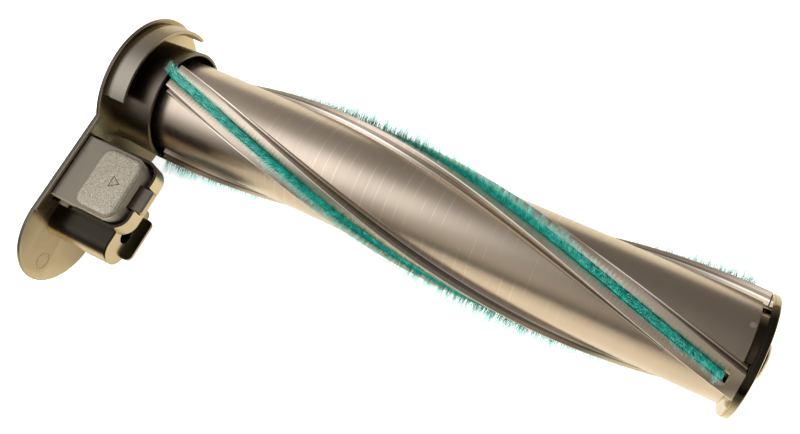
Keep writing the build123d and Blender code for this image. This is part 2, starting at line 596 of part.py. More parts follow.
# Latch housing: a tray for the button over a hollow block, with spring posts and a locating foot
with BuildPart() as latch_housing:
    with BuildSketch(cap_plane(0)):
        with Locations((BLOCK_BOTTOM, BLOCK_NEAR)):
            Rectangle(BLOCK_TOP - BLOCK_BOTTOM, BLOCK_FAR - BLOCK_NEAR, align=(Align.MIN, Align.MIN))
        fillet(vertices().sort_by(Axis.Y)[-2:].sort_by(Axis.X)[-1], BLOCK_TOP_ROUND)
        fillet(vertices().sort_by(Axis.X)[:2].sort_by(Axis.Y)[-1], BLOCK_FAR_ROUND)
        fillet(vertices().sort_by(Axis.Y)[:2].sort_by(Axis.X)[0], BLOCK_NEAR_ROUND)
    extrude(amount=BLOCK_LENGTH)
    fillet(faces().sort_by(Axis.X)[-1].edges(), BLOCK_END_ROUND)
    with BuildSketch(deck_plane(TRAY_BOTTOM)):
        deck_rectangle(
            BUTTON_REACH - TRAY_CLEARANCE - TRAY_WALL,
            BUTTON_FAR + TRAY_CLEARANCE + TRAY_WALL,
            0,
            TRAY_END,
            BUTTON_CORNER + TRAY_CLEARANCE + TRAY_WALL,
        )
    extrude(amount=TRAY_RIM - TRAY_BOTTOM)
    with BuildSketch(deck_plane(TRAY_FLOOR_TOP)):
        deck_rectangle(
            BUTTON_REACH - TRAY_CLEARANCE,
            BUTTON_FAR + TRAY_CLEARANCE,
            -TRAY_WALL,
            TRAY_STOP,
            BUTTON_CORNER + TRAY_CLEARANCE,
        )
    extrude(amount=BUTTON_DEPTH, mode=Mode.SUBTRACT)
    with BuildSketch(deck_plane(TONGUE_BOTTOM - TONGUE_PLAY)):
        notch_half = TONGUE_WIDTH / 2 + TONGUE_PLAY
        deck_rectangle(
            BUTTON_MIDDLE - notch_half,
            BUTTON_MIDDLE + notch_half,
            TRAY_STOP - TRAY_WALL,
            TRAY_END + TRAY_WALL,
        )
    extrude(amount=BUTTON_DEPTH, mode=Mode.SUBTRACT)
    with BuildSketch(deck_plane(TRAY_RIM - LUG_HEIGHT - 2 * LUG_PLAY)):
        deck_rectangle(
            BUTTON_FAR - TRAY_WALL,
            BUTTON_FAR + TRAY_CLEARANCE + 2 * TRAY_WALL,
            LUG_START - LUG_PLAY,
            LUG_START + LUG_LENGTH + BUTTON_TRAVEL + LUG_PLAY,
        )
    extrude(amount=BUTTON_DEPTH, mode=Mode.SUBTRACT)
    with BuildSketch(deck_plane(TRAY_FLOOR_TOP)):
        for spring_reach in SPRING_REACHES:
            deck_rectangle(
                spring_reach - SPRING_RADIUS,
                spring_reach + SPRING_RADIUS,
                SPRING_END,
                SPRING_END + SPRING_POST,
            )
    extrude(amount=SPRING_RISE + SPRING_RADIUS - TRAY_FLOOR_TOP)
    with BuildSketch(cap_plane(0)):
        with Locations((BLOCK_BOTTOM + BLOCK_WALL, BLOCK_NEAR + BLOCK_WALL)):
            Rectangle(
                TRAY_BOTTOM - BLOCK_BOTTOM - 2 * BLOCK_WALL,
                BLOCK_FAR - BLOCK_NEAR - 2 * BLOCK_WALL - BLOCK_TOP_ROUND,
                align=(Align.MIN, Align.MIN),
            )
    extrude(amount=BLOCK_LENGTH - BLOCK_WALL, mode=Mode.SUBTRACT)
    with BuildSketch(cap_plane(0)):
        with Locations((SCREW_RISE, SCREW_REACH)):
            Circle(SCREW_ACCESS_RADIUS + SCREW_TUBE_WALL)
    extrude(amount=BLOCK_LENGTH)
    with BuildSketch(cap_plane(SCREW_SEAT)):
        with Locations((SCREW_RISE, SCREW_REACH)):
            Circle(SCREW_ACCESS_RADIUS)
    extrude(amount=BLOCK_LENGTH, mode=Mode.SUBTRACT)
    with BuildSketch(cap_plane(0)):
        with Locations((SCREW_RISE, SCREW_REACH)):
            Circle(SCREW_BOSS_RADIUS + SCREW_FIT)
    extrude(amount=SCREW_SEAT - SCREW_WEB, mode=Mode.SUBTRACT)
    with BuildSketch(cap_plane(0)):
        with Locations((SCREW_RISE, SCREW_REACH)):
            Circle(SCREW_RADIUS + SCREW_FIT)
    extrude(amount=BLOCK_LENGTH, mode=Mode.SUBTRACT)
    with BuildSketch(deck_plane(BLOCK_BOTTOM)):
        deck_rectangle(FOOT_NEAR, FOOT_FAR, BLOCK_LENGTH - BLOCK_WALL, BLOCK_LENGTH + FOOT_LENGTH, FOOT_CORNER)
    extrude(amount=FOOT_THICKNESS)
save(latch_housing.part, "latch_housing")

# Screw through the housing into the plate's boss
with BuildPart() as housing_screw:
    with BuildSketch(cap_plane(SCREW_SEAT)):
        with Locations((SCREW_RISE, SCREW_REACH)):
            Circle(SCREW_HEAD_RADIUS)
    extrude(amount=SCREW_HEAD_HEIGHT)
    with BuildSketch(cap_plane(SCREW_TIP)):
        with Locations((SCREW_RISE, SCREW_REACH)):
            Circle(SCREW_RADIUS)
    extrude(amount=SCREW_SEAT - SCREW_TIP)
    with BuildSketch(cap_plane(SCREW_SEAT + SCREW_HEAD_HEIGHT)):
        with Locations((SCREW_RISE, SCREW_REACH)):
            Rectangle(SCREW_SLOT_WIDTH, SCREW_SLOT_LENGTH)
            Rectangle(SCREW_SLOT_LENGTH, SCREW_SLOT_WIDTH)
    extrude(amount=-SCREW_SLOT_DEPTH, mode=Mode.SUBTRACT)
save(housing_screw.part, "housing_screw")

# Release button: a shell with a raised pad, an arrow in it, a snap lug, spring seats and pegs
with BuildPart() as release_button:
    with BuildSketch(deck_plane(BUTTON_BOTTOM)):
        deck_rectangle(BUTTON_REACH, BUTTON_FAR, BUTTON_BACK_GAP, BUTTON_END, BUTTON_CORNER)
    extrude(amount=BUTTON_DEPTH)
    fillet(faces().sort_by(Axis(origin=(0, 0, 0), direction=RISE))[-1].edges(), BUTTON_EDGE_ROUND)
    with BuildSketch(deck_plane(BUTTON_BOTTOM)):
        deck_rectangle(
            BUTTON_REACH + BUTTON_WALL,
            BUTTON_FAR - BUTTON_WALL,
            BUTTON_BACK_GAP + BUTTON_WALL,
            BUTTON_END - BUTTON_WALL,
            BUTTON_CORNER - BUTTON_WALL,
        )
    extrude(amount=BUTTON_DEPTH - BUTTON_ROOF, mode=Mode.SUBTRACT)
    with BuildSketch(deck_plane(BUTTON_TOP)):
        with Locations((BUTTON_MIDDLE, (PAD_BACK + PAD_FRONT) / 2)):
            RectangleRounded(BUTTON_WIDTH - 2 * PAD_SIDE_MARGIN, PAD_FRONT - PAD_BACK, PAD_CORNER)
    extrude(amount=PAD_HEIGHT, taper=PAD_SLOPE_ANGLE)
    with BuildSketch(deck_plane(BUTTON_TOP + PAD_HEIGHT)):
        with Locations((BUTTON_MIDDLE - ARROW_SIDE_SHIFT, ARROW_PLACE)):
            RegularPolygon(ARROW_SIZE, ARROW_CORNERS, rotation=90)
            RegularPolygon(ARROW_SIZE - 2 * ARROW_LINE, ARROW_CORNERS, rotation=90, mode=Mode.SUBTRACT)
    extrude(amount=-ARROW_DEPTH, mode=Mode.SUBTRACT)
    with BuildSketch(deck_plane(BUTTON_BOTTOM)):
        deck_rectangle(
            BUTTON_MIDDLE - TONGUE_WIDTH / 2 - TONGUE_PLAY,
            BUTTON_MIDDLE + TONGUE_WIDTH / 2 + TONGUE_PLAY,
            BUTTON_END - 2 * BUTTON_WALL,
            BUTTON_END + BUTTON_WALL,
        )
    extrude(amount=TONGUE_TOP + TONGUE_PLAY - BUTTON_BOTTOM, mode=Mode.SUBTRACT)
    with BuildSketch(deck_plane(TRAY_RIM - LUG_HEIGHT - LUG_PLAY)):
        deck_rectangle(
            BUTTON_FAR - BUTTON_WALL,
            BUTTON_FAR + TRAY_CLEARANCE + TRAY_WALL,
            LUG_START,
            LUG_START + LUG_LENGTH,
        )
    extrude(amount=LUG_HEIGHT)
    with BuildSketch(deck_plane(SPRING_RISE - SPRING_RADIUS)):
        for spring_reach in SPRING_REACHES:
            deck_rectangle(
                spring_reach - SPRING_RADIUS,
                spring_reach + SPRING_RADIUS,
                SPRING_START - SPRING_SEAT,
                SPRING_START,
            )
    extrude(amount=BUTTON_CEILING - SPRING_RISE + SPRING_RADIUS)
    with BuildSketch(deck_plane(BUTTON_CEILING)):
        for side in (-1, 1):
            with Locations((BUTTON_MIDDLE, (SLIDE_START + BUTTON_END - BUTTON_WALL + side * PEG_SPACING) / 2)):
                Circle(PEG_RADIUS)
    extrude(amount=-PEG_LENGTH)
save(release_button.part, "release_button")

# Latch slide: carried by the button's pegs, with a tongue out through the tray's notch
with BuildPart() as latch_slide:
    with BuildSketch(deck_plane(TRAY_FLOOR_TOP + SLIDE_GAP)):
        deck_rectangle(
            BUTTON_MIDDLE - TONGUE_WIDTH / 2,
            BUTTON_MIDDLE + TONGUE_WIDTH / 2,
            SLIDE_START,
            BUTTON_END - BUTTON_WALL - TONGUE_PLAY,
        )
    extrude(amount=BUTTON_CEILING - TRAY_FLOOR_TOP - SLIDE_GAP)
    with BuildSketch(deck_plane(TONGUE_BOTTOM)):
        deck_rectangle(
            BUTTON_MIDDLE - TONGUE_WIDTH / 2,
            BUTTON_MIDDLE + TONGUE_WIDTH / 2,
            SLIDE_START,
            TONGUE_END,
        )
    extrude(amount=TONGUE_THICKNESS)
    chamfer(faces().sort_by(Axis.X)[-1].edges(), TONGUE_CHAMFER)
    with BuildSketch(deck_plane(BUTTON_CEILING)):
        for side in (-1, 1):
            with Locations((BUTTON_MIDDLE, (SLIDE_START + BUTTON_END - BUTTON_WALL + side * PEG_SPACING) / 2)):
                Circle(PEG_RADIUS + PEG_CLEARANCE)
    extrude(amount=-PEG_LENGTH - PEG_CLEARANCE, mode=Mode.SUBTRACT)
save(latch_slide.part, "latch_slide")

# Return springs between the button's seats and the tray's posts
with BuildPart() as return_springs:
    for spring_reach in SPRING_REACHES:
        coil_height = SPRING_LENGTH - 2 * SPRING_WIRE
        coil_start = RISE * SPRING_RISE + REACH * spring_reach + Vector(SPRING_START + SPRING_WIRE, 0, 0)
        coil = Edge.make_helix(
            coil_height / SPRING_TURNS, coil_height, SPRING_RADIUS - SPRING_WIRE, coil_start, (1, 0, 0)
        )
        with BuildSketch(Plane(origin=coil @ 0, z_dir=coil % 0)):
            RegularPolygon(SPRING_WIRE, SPRING_WIRE_SIDES)
        sweep(path=coil, is_frenet=True)
save(return_springs.part, "return_springs")
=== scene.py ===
import json
from math import asin, atan2, cos, hypot, pi, radians, sin, sqrt

import bpy
import numpy as np
from mathutils import Matrix, Vector


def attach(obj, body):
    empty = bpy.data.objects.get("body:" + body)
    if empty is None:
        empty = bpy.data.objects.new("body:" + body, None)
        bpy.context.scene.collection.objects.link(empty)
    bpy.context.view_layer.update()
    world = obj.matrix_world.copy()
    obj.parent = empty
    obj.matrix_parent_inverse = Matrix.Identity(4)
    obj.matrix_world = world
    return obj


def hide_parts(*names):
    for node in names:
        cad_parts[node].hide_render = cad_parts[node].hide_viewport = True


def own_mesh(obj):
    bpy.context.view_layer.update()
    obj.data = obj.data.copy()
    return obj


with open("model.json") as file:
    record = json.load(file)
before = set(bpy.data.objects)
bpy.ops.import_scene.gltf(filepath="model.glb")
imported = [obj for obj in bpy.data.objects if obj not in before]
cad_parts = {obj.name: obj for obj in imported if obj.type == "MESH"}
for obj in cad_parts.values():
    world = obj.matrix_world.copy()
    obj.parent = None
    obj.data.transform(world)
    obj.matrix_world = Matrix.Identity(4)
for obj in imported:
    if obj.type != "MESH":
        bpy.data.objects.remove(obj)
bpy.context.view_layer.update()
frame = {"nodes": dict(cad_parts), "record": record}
nodes = frame["nodes"]
slot_of = {part["node"]: part["material_slot"] for part in frame["record"]["subparts"]}
body_of = {node: body for body, group in frame["record"]["behaviour"]["bodies"].items() for node in group}

# Lengths are in metres; the gaps serve to merge points and to pick edges and faces by their place
MM = 0.001
MERGE_GAP = 0.001 * MM
FACE_GAP = 0.01 * MM
PICK_GAP = 0.1 * MM

# Roller tube and its twisted rails
TUBE_RADIUS = 19.0 * MM
TUBE_BORE = 16.6 * MM
TUBE_START = 8.6 * MM
TUBE_END = 245.6 * MM
TUBE_RIM_ROUND = 0.4 * MM
TUBE_SIDES = 192
RAIL_COUNT = 3
RAIL_START = 19.2 * MM
RAIL_END = 247.1 * MM
RAIL_ROOT = 17.44 * MM
LEDGE_TOP = 19.5 * MM
RAIL_TOP = 22.4 * MM
LEDGE_HALF = 6.3 * MM
RAIL_HALF = 5.3 * MM
RAIL_EDGE_ROUND = 0.35 * MM
SLOT_END = 242.8 * MM
SLOT_RUN_OUT = 1.0 * MM
SLOT_RUN_UP = 0.5 * MM
POCKET_HALF = 3.2 * MM
POCKET_FLOOR = 19.4 * MM
POCKET_TOP = 20.9 * MM
THROAT_HALF = 1.6 * MM
THROAT_ROUND = 0.3 * RAIL_EDGE_ROUND
TWIST_PITCH = 472.0 * MM
TWIST = 2 * pi / TWIST_PITCH
WINDING_STEP = 1.5 * MM
FIRST_RAIL_ANGLE = radians(87.6)

# Bristle strips: tufts of fibres on a matted core
PILE_START = 17.9 * MM
PILE_END = 241.8 * MM
PILE_END_GAP = 0.2 * MM
PILE_SIDE_GAP = 0.15 * MM
PILE_SEED = 40
FIBRES_PER_STRIP = 5000
FIBRE_RADIUS = 0.06 * MM
FIBRE_TAPER = ((0.5, 0.36), (1.0, 0.13))
FIBRE_LEVEL_GAP = 0.1
FIBRE_ROOT = 21.9 * MM
FIBRE_BOW = 0.16 * MM
BRISTLE_TIP = 28.8 * MM
TIP_DROP = 0.7 * MM
TIP_VARIES = 0.6 * MM
TIP_LOWEST = BRISTLE_TIP - 3 * MM
TIP_HIGHEST = BRISTLE_TIP + 0.2 * MM
TIP_STRAY_ALONG = 0.40 * MM
TIP_STRAY_ACROSS = 0.25 * MM
TIP_SPREAD = 0.45
TUFT_PITCH = 1.5 * MM
TUFT_LENGTH = 0.36 * TUFT_PITCH
TUFT_LEAN = 0.5 * MM
TUFT_LEAN_ACROSS = 0.7
CORE_END_GAP = 0.4 * MM
CORE_OUTLINE = ((-1.4, 20.95), (1.4, 20.95), (1.45, 22.0), (0.9, 22.5), (-0.9, 22.5), (-1.45, 22.0))

# Side cap; its arm is tilted so that the plate's two rounds lie on the floor
PLATE_RADIUS = 30.9 * MM
PLATE_THICKNESS = 1.4 * MM
PLATE_TOP = 20.0 * MM
PLATE_ROUND = 0.5 * MM
PLATE_ROOT = -PLATE_THICKNESS / 2
PLATE_OUTSIDE = -PLATE_THICKNESS + 0.9 * PLATE_ROUND
LOBE_RADIUS = 22.4 * MM
LOBE_REACH = 65.5 * MM
LOBE_RISE = PLATE_TOP - LOBE_RADIUS
LIP_WIDTH = 1.5 * MM
LIP_HEIGHT = 0.5 * MM
LIP_INSET = 0.4 * MM
ARC_RADIUS = 29.3 * MM
ARC_WALL = 1.4 * MM
ARC_WIDTH = 9.1 * MM
ARC_GROOVE = 2.6 * MM
ARC_GROOVE_DEPTH = 0.7 * MM
ARC_START = radians(-84.8)
ARC_SPAN = radians(118.8)
ARC_EASE = 0.18 * MM
COLLAR_LENGTH = 17.3 * MM
COLLAR_BORE = 21.6 * MM
COLLAR_WALL = 1.3 * MM
COLLAR_DRAFT = 1.1 * MM
COLLAR_EASE = 0.25 * MM
HUB_RADIUS = 7.0 * MM
HUB_LENGTH = 12.0 * MM
HUB_EASE = 0.2 * MM
AXLE_RADIUS = 3.0 * MM
RIB_COUNT = 6
RIB_THICKNESS = 1.4 * MM
RIB_HEIGHT = 5.0 * MM
RIB_EASE = 0.15 * MM
BOSS_RADIUS = 3.1 * MM
BOSS_BORE = 1.4 * MM
BOSS_LENGTH = 6.2 * MM
SCREW_RISE = 1.6 * MM
SCREW_REACH = 57.8 * MM
EJECTOR_RADIUS = 3.3 * MM
EJECTOR_LINE = 0.22 * MM
EJECTOR_RISE = -2.5 * MM
EJECTOR_REACH = 80.0 * MM
EJECTOR_CLEAR = 1.5 * EJECTOR_RADIUS
LOBE_TILT = atan2(LOBE_RISE, LOBE_REACH)
REST_TILT = LOBE_TILT + asin((PLATE_RADIUS - LOBE_RADIUS) / hypot(LOBE_REACH, LOBE_RISE))
RISE = Vector((0, -sin(REST_TILT), cos(REST_TILT)))
REACH = Vector((0, -cos(REST_TILT), -sin(REST_TILT)))
FLOOR_HEIGHT = -PLATE_RADIUS

# Latch: housing, springs, button and its raised pad
HOUSING_EASE = 0.22 * MM
BLOCK_END = 27.3 * MM
FOOT_TOP = -4.5 * MM
DRIVE_HUB_EASE = 0.12 * MM
BUTTON_EASE = 0.1 * MM
BUTTON_TOP = 17.5 * MM
BUTTON_TOP_GAP = 0.005 * MM
BUTTON_MIDDLE = 44.5 * MM
PAD_WIDTH = 24.4 * MM
PAD_START = 9.8 * MM
PAD_END = 27.5 * MM
PAD_CORNER = 4.0 * MM
PAD_SINK = 0.1 * MM
PAD_STEPS = ((0.30, 0.24), (0.35, 0.14), (0.45, 0.08), (0.6, 0.04))
ARROW_PLACE = 20.5 * MM
ARROW_SIZE = 2.7 * MM
ARROW_LINE = 0.3 * MM
ARROW_DEPTH = 0.25 * MM
ARROW_SHIFT = ARROW_SIZE / 4
GROOVE_GAP = 0.02 * MM

# How finely round shapes are divided, and up to which angle in degrees they are shaded smooth
ARC_STEPS = 96
COLLAR_STEPS = 160
HUB_STEPS = 64
LOBE_STEPS = 72
PLATE_STEPS = 128
RING_SIDES = 48
BORE_SIDES = 32
CORNER_STEPS = 12
ROUND_STEPS = 3
MOULDED_ANGLE = 40
TURNED_ANGLE = 50
SHELL_ANGLE = 32
SOFT_ANGLE = 60
COPLANAR_ANGLE = 0.4
FLAT_FACE_WEIGHT = 80


def rail_angle(x):
    """Direction of the first rail's middle at x, from +Y towards +Z."""
    return FIRST_RAIL_ANGLE + TWIST * (x - RAIL_START)


def on_cap(rise, reach, x=0.0):
    """Point given by its rise and reach on the cap's arm and its x along the axis."""
    return Vector((x, 0, 0)) + RISE * rise + REACH * reach


def arc_points(centre, radius, start, end, count):
    """Points (rise, reach) along an arc about a centre."""
    angles = [start + (end - start) * index / count for index in range(count + 1)]
    return [(centre[0] + radius * cos(angle), centre[1] + radius * sin(angle)) for angle in angles]


def ring_points(centre, radius, count):
    """Points (rise, reach) of a whole circle about a centre."""
    return arc_points(centre, radius, 0, 2 * pi, count)[:-1]


# Modelling by hand


def edit_everything():
    """Edit the active piece with all of it selected."""
    bpy.ops.object.mode_set(mode="EDIT")
    bpy.ops.mesh.select_all(action="SELECT")


def stop_editing():
    """Back to object mode."""
    bpy.ops.object.mode_set(mode="OBJECT")


def start_piece():
    """Nothing selected, in object mode, before a new piece is added."""
    if bpy.context.object and bpy.context.object.mode != "OBJECT":
        stop_editing()
    bpy.ops.object.select_all(action="DESELECT")


def choose(piece, domain, test):
    """Select the vertices, edges or faces of a piece that pass a test of their middle, then edit them."""
    bpy.ops.object.mode_set(mode="EDIT")
    bpy.ops.mesh.select_mode(type={"vertices": "VERT", "edges": "EDGE", "polygons": "FACE"}[domain])
    bpy.ops.mesh.select_all(action="DESELECT")
    stop_editing()
    points = piece.data.vertices
    for item in getattr(piece.data, domain):
        if domain == "vertices":
            middle = item.co
        else:
            middle = sum((points[i].co for i in item.vertices), Vector()) / len(item.vertices)
        item.select = test(middle)
    bpy.ops.object.mode_set(mode="EDIT")


def make_active(piece):
    """Let the operators that follow act on a piece."""
    bpy.context.view_layer.objects.active = piece


def apply_modifier(piece, name, kind, **settings):
    """Add a modifier to a piece with its settings, and apply it."""
    make_active(piece)
    modifier = piece.modifiers.new(name, kind)
    for setting, value in settings.items():
        setattr(modifier, setting, value)
    bpy.ops.object.modifier_apply(modifier=modifier.name)


def outward(piece):
    """Merge a piece's doubled points and turn its faces outwards."""
    make_active(piece)
    edit_everything()
    bpy.ops.mesh.remove_doubles(threshold=MERGE_GAP)
    bpy.ops.mesh.normals_make_consistent(inside=False)
    stop_editing()


def flat_outline(points):
    """New flat face through a row of points."""
    start_piece()
    bpy.ops.mesh.primitive_circle_add(vertices=len(points), radius=1, fill_type="NGON")
    piece = bpy.context.object
    for vertex, point in zip(piece.data.vertices, points):
        vertex.co = point
    return piece


def thicken(points, move):
    """Block between a flat outline and the same outline moved off."""
    piece = flat_outline(points)
    edit_everything()
    bpy.ops.mesh.extrude_region_move(TRANSFORM_OT_translate={"value": move})
    stop_editing()
    outward(piece)
    return piece


def prism(outline, x_from, x_to):
    """Outline of (rise, reach) points on the cap, thickened along the axis."""
    return thicken([on_cap(rise, reach, x_from) for rise, reach in outline], (x_to - x_from, 0, 0))


def lathe(profile, steps, start=0.0, sweep=2 * pi):
    """Ring of (x, radius) points spun about the axis, from an angle measured from RISE towards REACH."""
    out = RISE * cos(start) + REACH * sin(start)
    piece = flat_outline([Vector((x, 0, 0)) + out * radius for x, radius in profile])
    edit_everything()
    if sweep >= 2 * pi:
        bpy.ops.mesh.delete(type="ONLY_FACE")
        bpy.ops.mesh.select_all(action="SELECT")
    bpy.ops.mesh.spin(steps=steps, angle=sweep, center=(0, 0, 0), axis=(-1, 0, 0), dupli=False)
    stop_editing()
    outward(piece)
    return piece


def wind(outline, start, end, turn, round_above=None):
    """Outline of (side, height) points, wound along the axis with the rails' twist and closed at its ends."""
    strip = flat_outline([(start, side, height) for side, height in outline])
    if round_above:
        choose(strip, "vertices", lambda point: point.z > round_above)
        bpy.ops.mesh.bevel(offset=RAIL_EDGE_ROUND, segments=ROUND_STEPS, affect="VERTICES")
    edit_everything()
    bpy.ops.mesh.delete(type="ONLY_FACE")
    stop_editing()
    strip.data.transform(Matrix.Rotation(rail_angle(start) + turn - pi / 2, 4, "X"))
    length = end - start
    steps = round(length / WINDING_STEP)
    winding = {"axis": "X", "angle": TWIST * length, "screw_offset": length}
    apply_modifier(strip, "winding", "SCREW", steps=steps, render_steps=steps, **winding)
    for face_place in (start, end):
        choose(strip, "edges", lambda middle: abs(middle.x - face_place) < FACE_GAP)
        bpy.ops.mesh.edge_face_add()
        stop_editing()
    outward(strip)
    return strip


def cut_away(piece, tool):
    """Cut a tool's shape out of a piece."""
    apply_modifier(piece, "cutter", "BOOLEAN", operation="DIFFERENCE", object=tool, solver="EXACT")
    bpy.data.objects.remove(tool)


def smooth_up_to(piece, angle):
    """Shade a piece smooth across edges less sharp than an angle in degrees."""
    bpy.ops.object.select_all(action="DESELECT")
    piece.select_set(True)
    make_active(piece)
    bpy.ops.object.shade_smooth_by_angle(angle=radians(angle))


def ease_edges(piece, width, segments=2, angle=MOULDED_ANGLE):
    """Round a piece's sharp edges and keep its flat faces flat in shading."""
    if width:
        sharp = {"limit_method": "ANGLE", "angle_limit": radians(angle)}
        apply_modifier(piece, "eased_edges", "BEVEL", width=width, segments=segments, **sharp)
    smooth_up_to(piece, angle)
    apply_modifier(piece, "flat_faces", "WEIGHTED_NORMAL", keep_sharp=True, weight=FLAT_FACE_WEIGHT)


def dress(piece, *names):
    """Give a piece its finishes, in their order."""
    for name in names:
        piece.data.materials.append(finishes[name])


def join_pieces(pieces, name, finish):
    """Join pieces into one object; those without a finish of their own get the given one."""
    start_piece()
    for part in pieces:
        if not part.data.materials:
            dress(part, finish)
        part.select_set(True)
    make_active(pieces[0])
    bpy.ops.object.join()
    whole = bpy.context.object
    whole.name = name
    return whole


def place(piece, node):
    """Let a piece stand for a CAD node: the node is hidden and the piece put on the node's body."""
    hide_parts(node)
    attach(piece, body_of[node])


# Shader nodes


def feed(tree, socket, value):
    """Link a socket to another one, or set it to a number or a colour."""
    if isinstance(value, bpy.types.NodeSocket):
        tree.links.new(value, socket)
    elif socket.type == "RGBA":
        socket.default_value = (*value, 1)
    else:
        socket.default_value = value


def math_node(tree, operation, *values, clamp=False):
    """Result of a math operation on sockets and numbers."""
    node = tree.nodes.new("ShaderNodeMath")
    node.operation = operation
    node.use_clamp = clamp
    for socket, value in zip(node.inputs, values):
        feed(tree, socket, value)
    return node.outputs[0]


def times(tree, product, *factors):
    """Product of masks and numbers."""
    for factor in factors:
        product = math_node(tree, "MULTIPLY", product, factor)
    return product


def split_xyz(tree, vector):
    """X, Y and Z of a vector."""
    node = tree.nodes.new("ShaderNodeSeparateXYZ")
    tree.links.new(vector, node.inputs[0])
    return node.outputs["X"], node.outputs["Y"], node.outputs["Z"]


def vector_value(tree, operation, vector, fixed):
    """Distance or dot product of a vector and a fixed one."""
    node = tree.nodes.new("ShaderNodeVectorMath")
    node.operation = operation
    tree.links.new(vector, node.inputs[0])
    node.inputs[1].default_value = fixed
    return node.outputs["Value"]


def smooth_step(tree, value, low, high):
    """Mask that rises smoothly from 0 to 1 between two values."""
    node = tree.nodes.new("ShaderNodeMapRange")
    node.interpolation_type = "SMOOTHSTEP"
    for label, given in (("Value", value), ("From Min", low), ("From Max", high)):
        feed(tree, node.inputs[label], given)
    return node.outputs["Result"]


def band(tree, value, low, high, fade):
    """Mask that is 1 between two values and fades out beyond them."""
    return times(tree, smooth_step(tree, value, low - fade, low), smooth_step(tree, value, high + fade, high))


def mix_values(tree, factor, low, high):
    """Number between two fixed numbers by a mask."""
    node = tree.nodes.new("ShaderNodeMapRange")
    for label, given in (("Value", factor), ("To Min", low), ("To Max", high)):
        feed(tree, node.inputs[label], given)
    return node.outputs["Result"]


def mix_colours(tree, factor, first, second, blend="MIX"):
    """Mix of two colours, each a fixed one or a socket, by a mask or a number."""
    node = tree.nodes.new("ShaderNodeMix")
    node.data_type = "RGBA"
    node.blend_type = blend
    for label, given in (("Factor", factor), ("A", first), ("B", second)):
        feed(tree, node.inputs[label], given)
    return node.outputs["Result"]


def colour_ramp(tree, factor, stops):
    """Colour ramp through a row of stops."""
    ramp = tree.nodes.new("ShaderNodeValToRGB")
    elements = ramp.color_ramp.elements
    elements[0].position, elements[1].position = stops[0][0], stops[-1][0]
    elements[0].color, elements[1].color = (*stops[0][1], 1), (*stops[-1][1], 1)
    for position, colour in stops[1:-1]:
        elements.new(position).color = (*colour, 1)
    tree.links.new(factor, ramp.inputs["Fac"])
    return ramp.outputs["Color"]


def noise_node(tree, vector, scale, detail):
    """Noise value at a scale given as a number or a socket."""
    node = tree.nodes.new("ShaderNodeTexNoise")
    for label, given in (("Vector", vector), ("Scale", scale), ("Detail", detail)):
        feed(tree, node.inputs[label], given)
    return node.outputs["Fac"]


# Shader groups

GRAIN_SCALE = 4000.0
GRAIN_DETAIL = 3.0
SMUDGE_SCALE = 60.0
SMUDGE_DETAIL = 4.0
SMUDGE_SPAN = (0.35, 0.72)
RING_PITCH = 4.4 * MM
RING_WIDTH = 0.04
RINGS_ENTER = (40 * MM, 75 * MM)
RINGS_LEAVE = (215 * MM, 150 * MM)
RING_PATCH_SCALE = 90.0
RING_PATCH_DETAIL = 2.0
RING_PATCH_SPAN = (0.38, 0.6)
STREAK_SCALE = (700.0, 30.0, 30.0)
# Masks on the rails, for painted shade (crease, pocket) and painted highlights (edge, ledge): from, to and
# fade across the rail, then up from the axis
RAIL_MASKS = {
    "Crease": ((RAIL_HALF, 5.8 * MM, 0.2 * MM), (LEDGE_TOP, 20.6 * MM, 0.3 * MM)),
    "Edge": ((5.1 * MM, RAIL_HALF, 0.2 * MM), (22.2 * MM, RAIL_TOP, 0.1 * MM)),
    "Ledge": ((6.0 * MM, LEDGE_HALF, 0.1 * MM), (18.9 * MM, LEDGE_TOP, 0.1 * MM)),
    "Pocket": ((-0.1 * MM, POCKET_HALF, 0.1 * MM), (LEDGE_TOP, 21.8 * MM, 0.3 * MM)),
}


def new_group(name, inputs, outputs):
    """Shader node group with named value inputs and outputs, and its end nodes."""
    group = bpy.data.node_groups.new(name, "ShaderNodeTree")
    for label, default in inputs:
        socket = group.interface.new_socket(name=label, in_out="INPUT", socket_type="NodeSocketFloat")
        socket.default_value = default
    for label in outputs:
        group.interface.new_socket(name=label, in_out="OUTPUT", socket_type="NodeSocketFloat")
    return group, group.nodes.new("NodeGroupInput"), group.nodes.new("NodeGroupOutput")


def build_grain():
    """Fine moulded or blasted grain: a height for bump, and a slow smudge mask."""
    inputs = (("Grain Scale", GRAIN_SCALE), ("Smudge Scale", SMUDGE_SCALE))
    group, given, result = new_group("surface_grain", inputs, ("Height", "Smudge"))
    where = group.nodes.new("ShaderNodeTexCoord").outputs["Object"]
    grain = noise_node(group, where, given.outputs["Grain Scale"], GRAIN_DETAIL)
    smudge = noise_node(group, where, given.outputs["Smudge Scale"], SMUDGE_DETAIL)
    feed(group, result.inputs["Height"], grain)
    feed(group, result.inputs["Smudge"], smooth_step(group, smudge, *SMUDGE_SPAN))
    return group


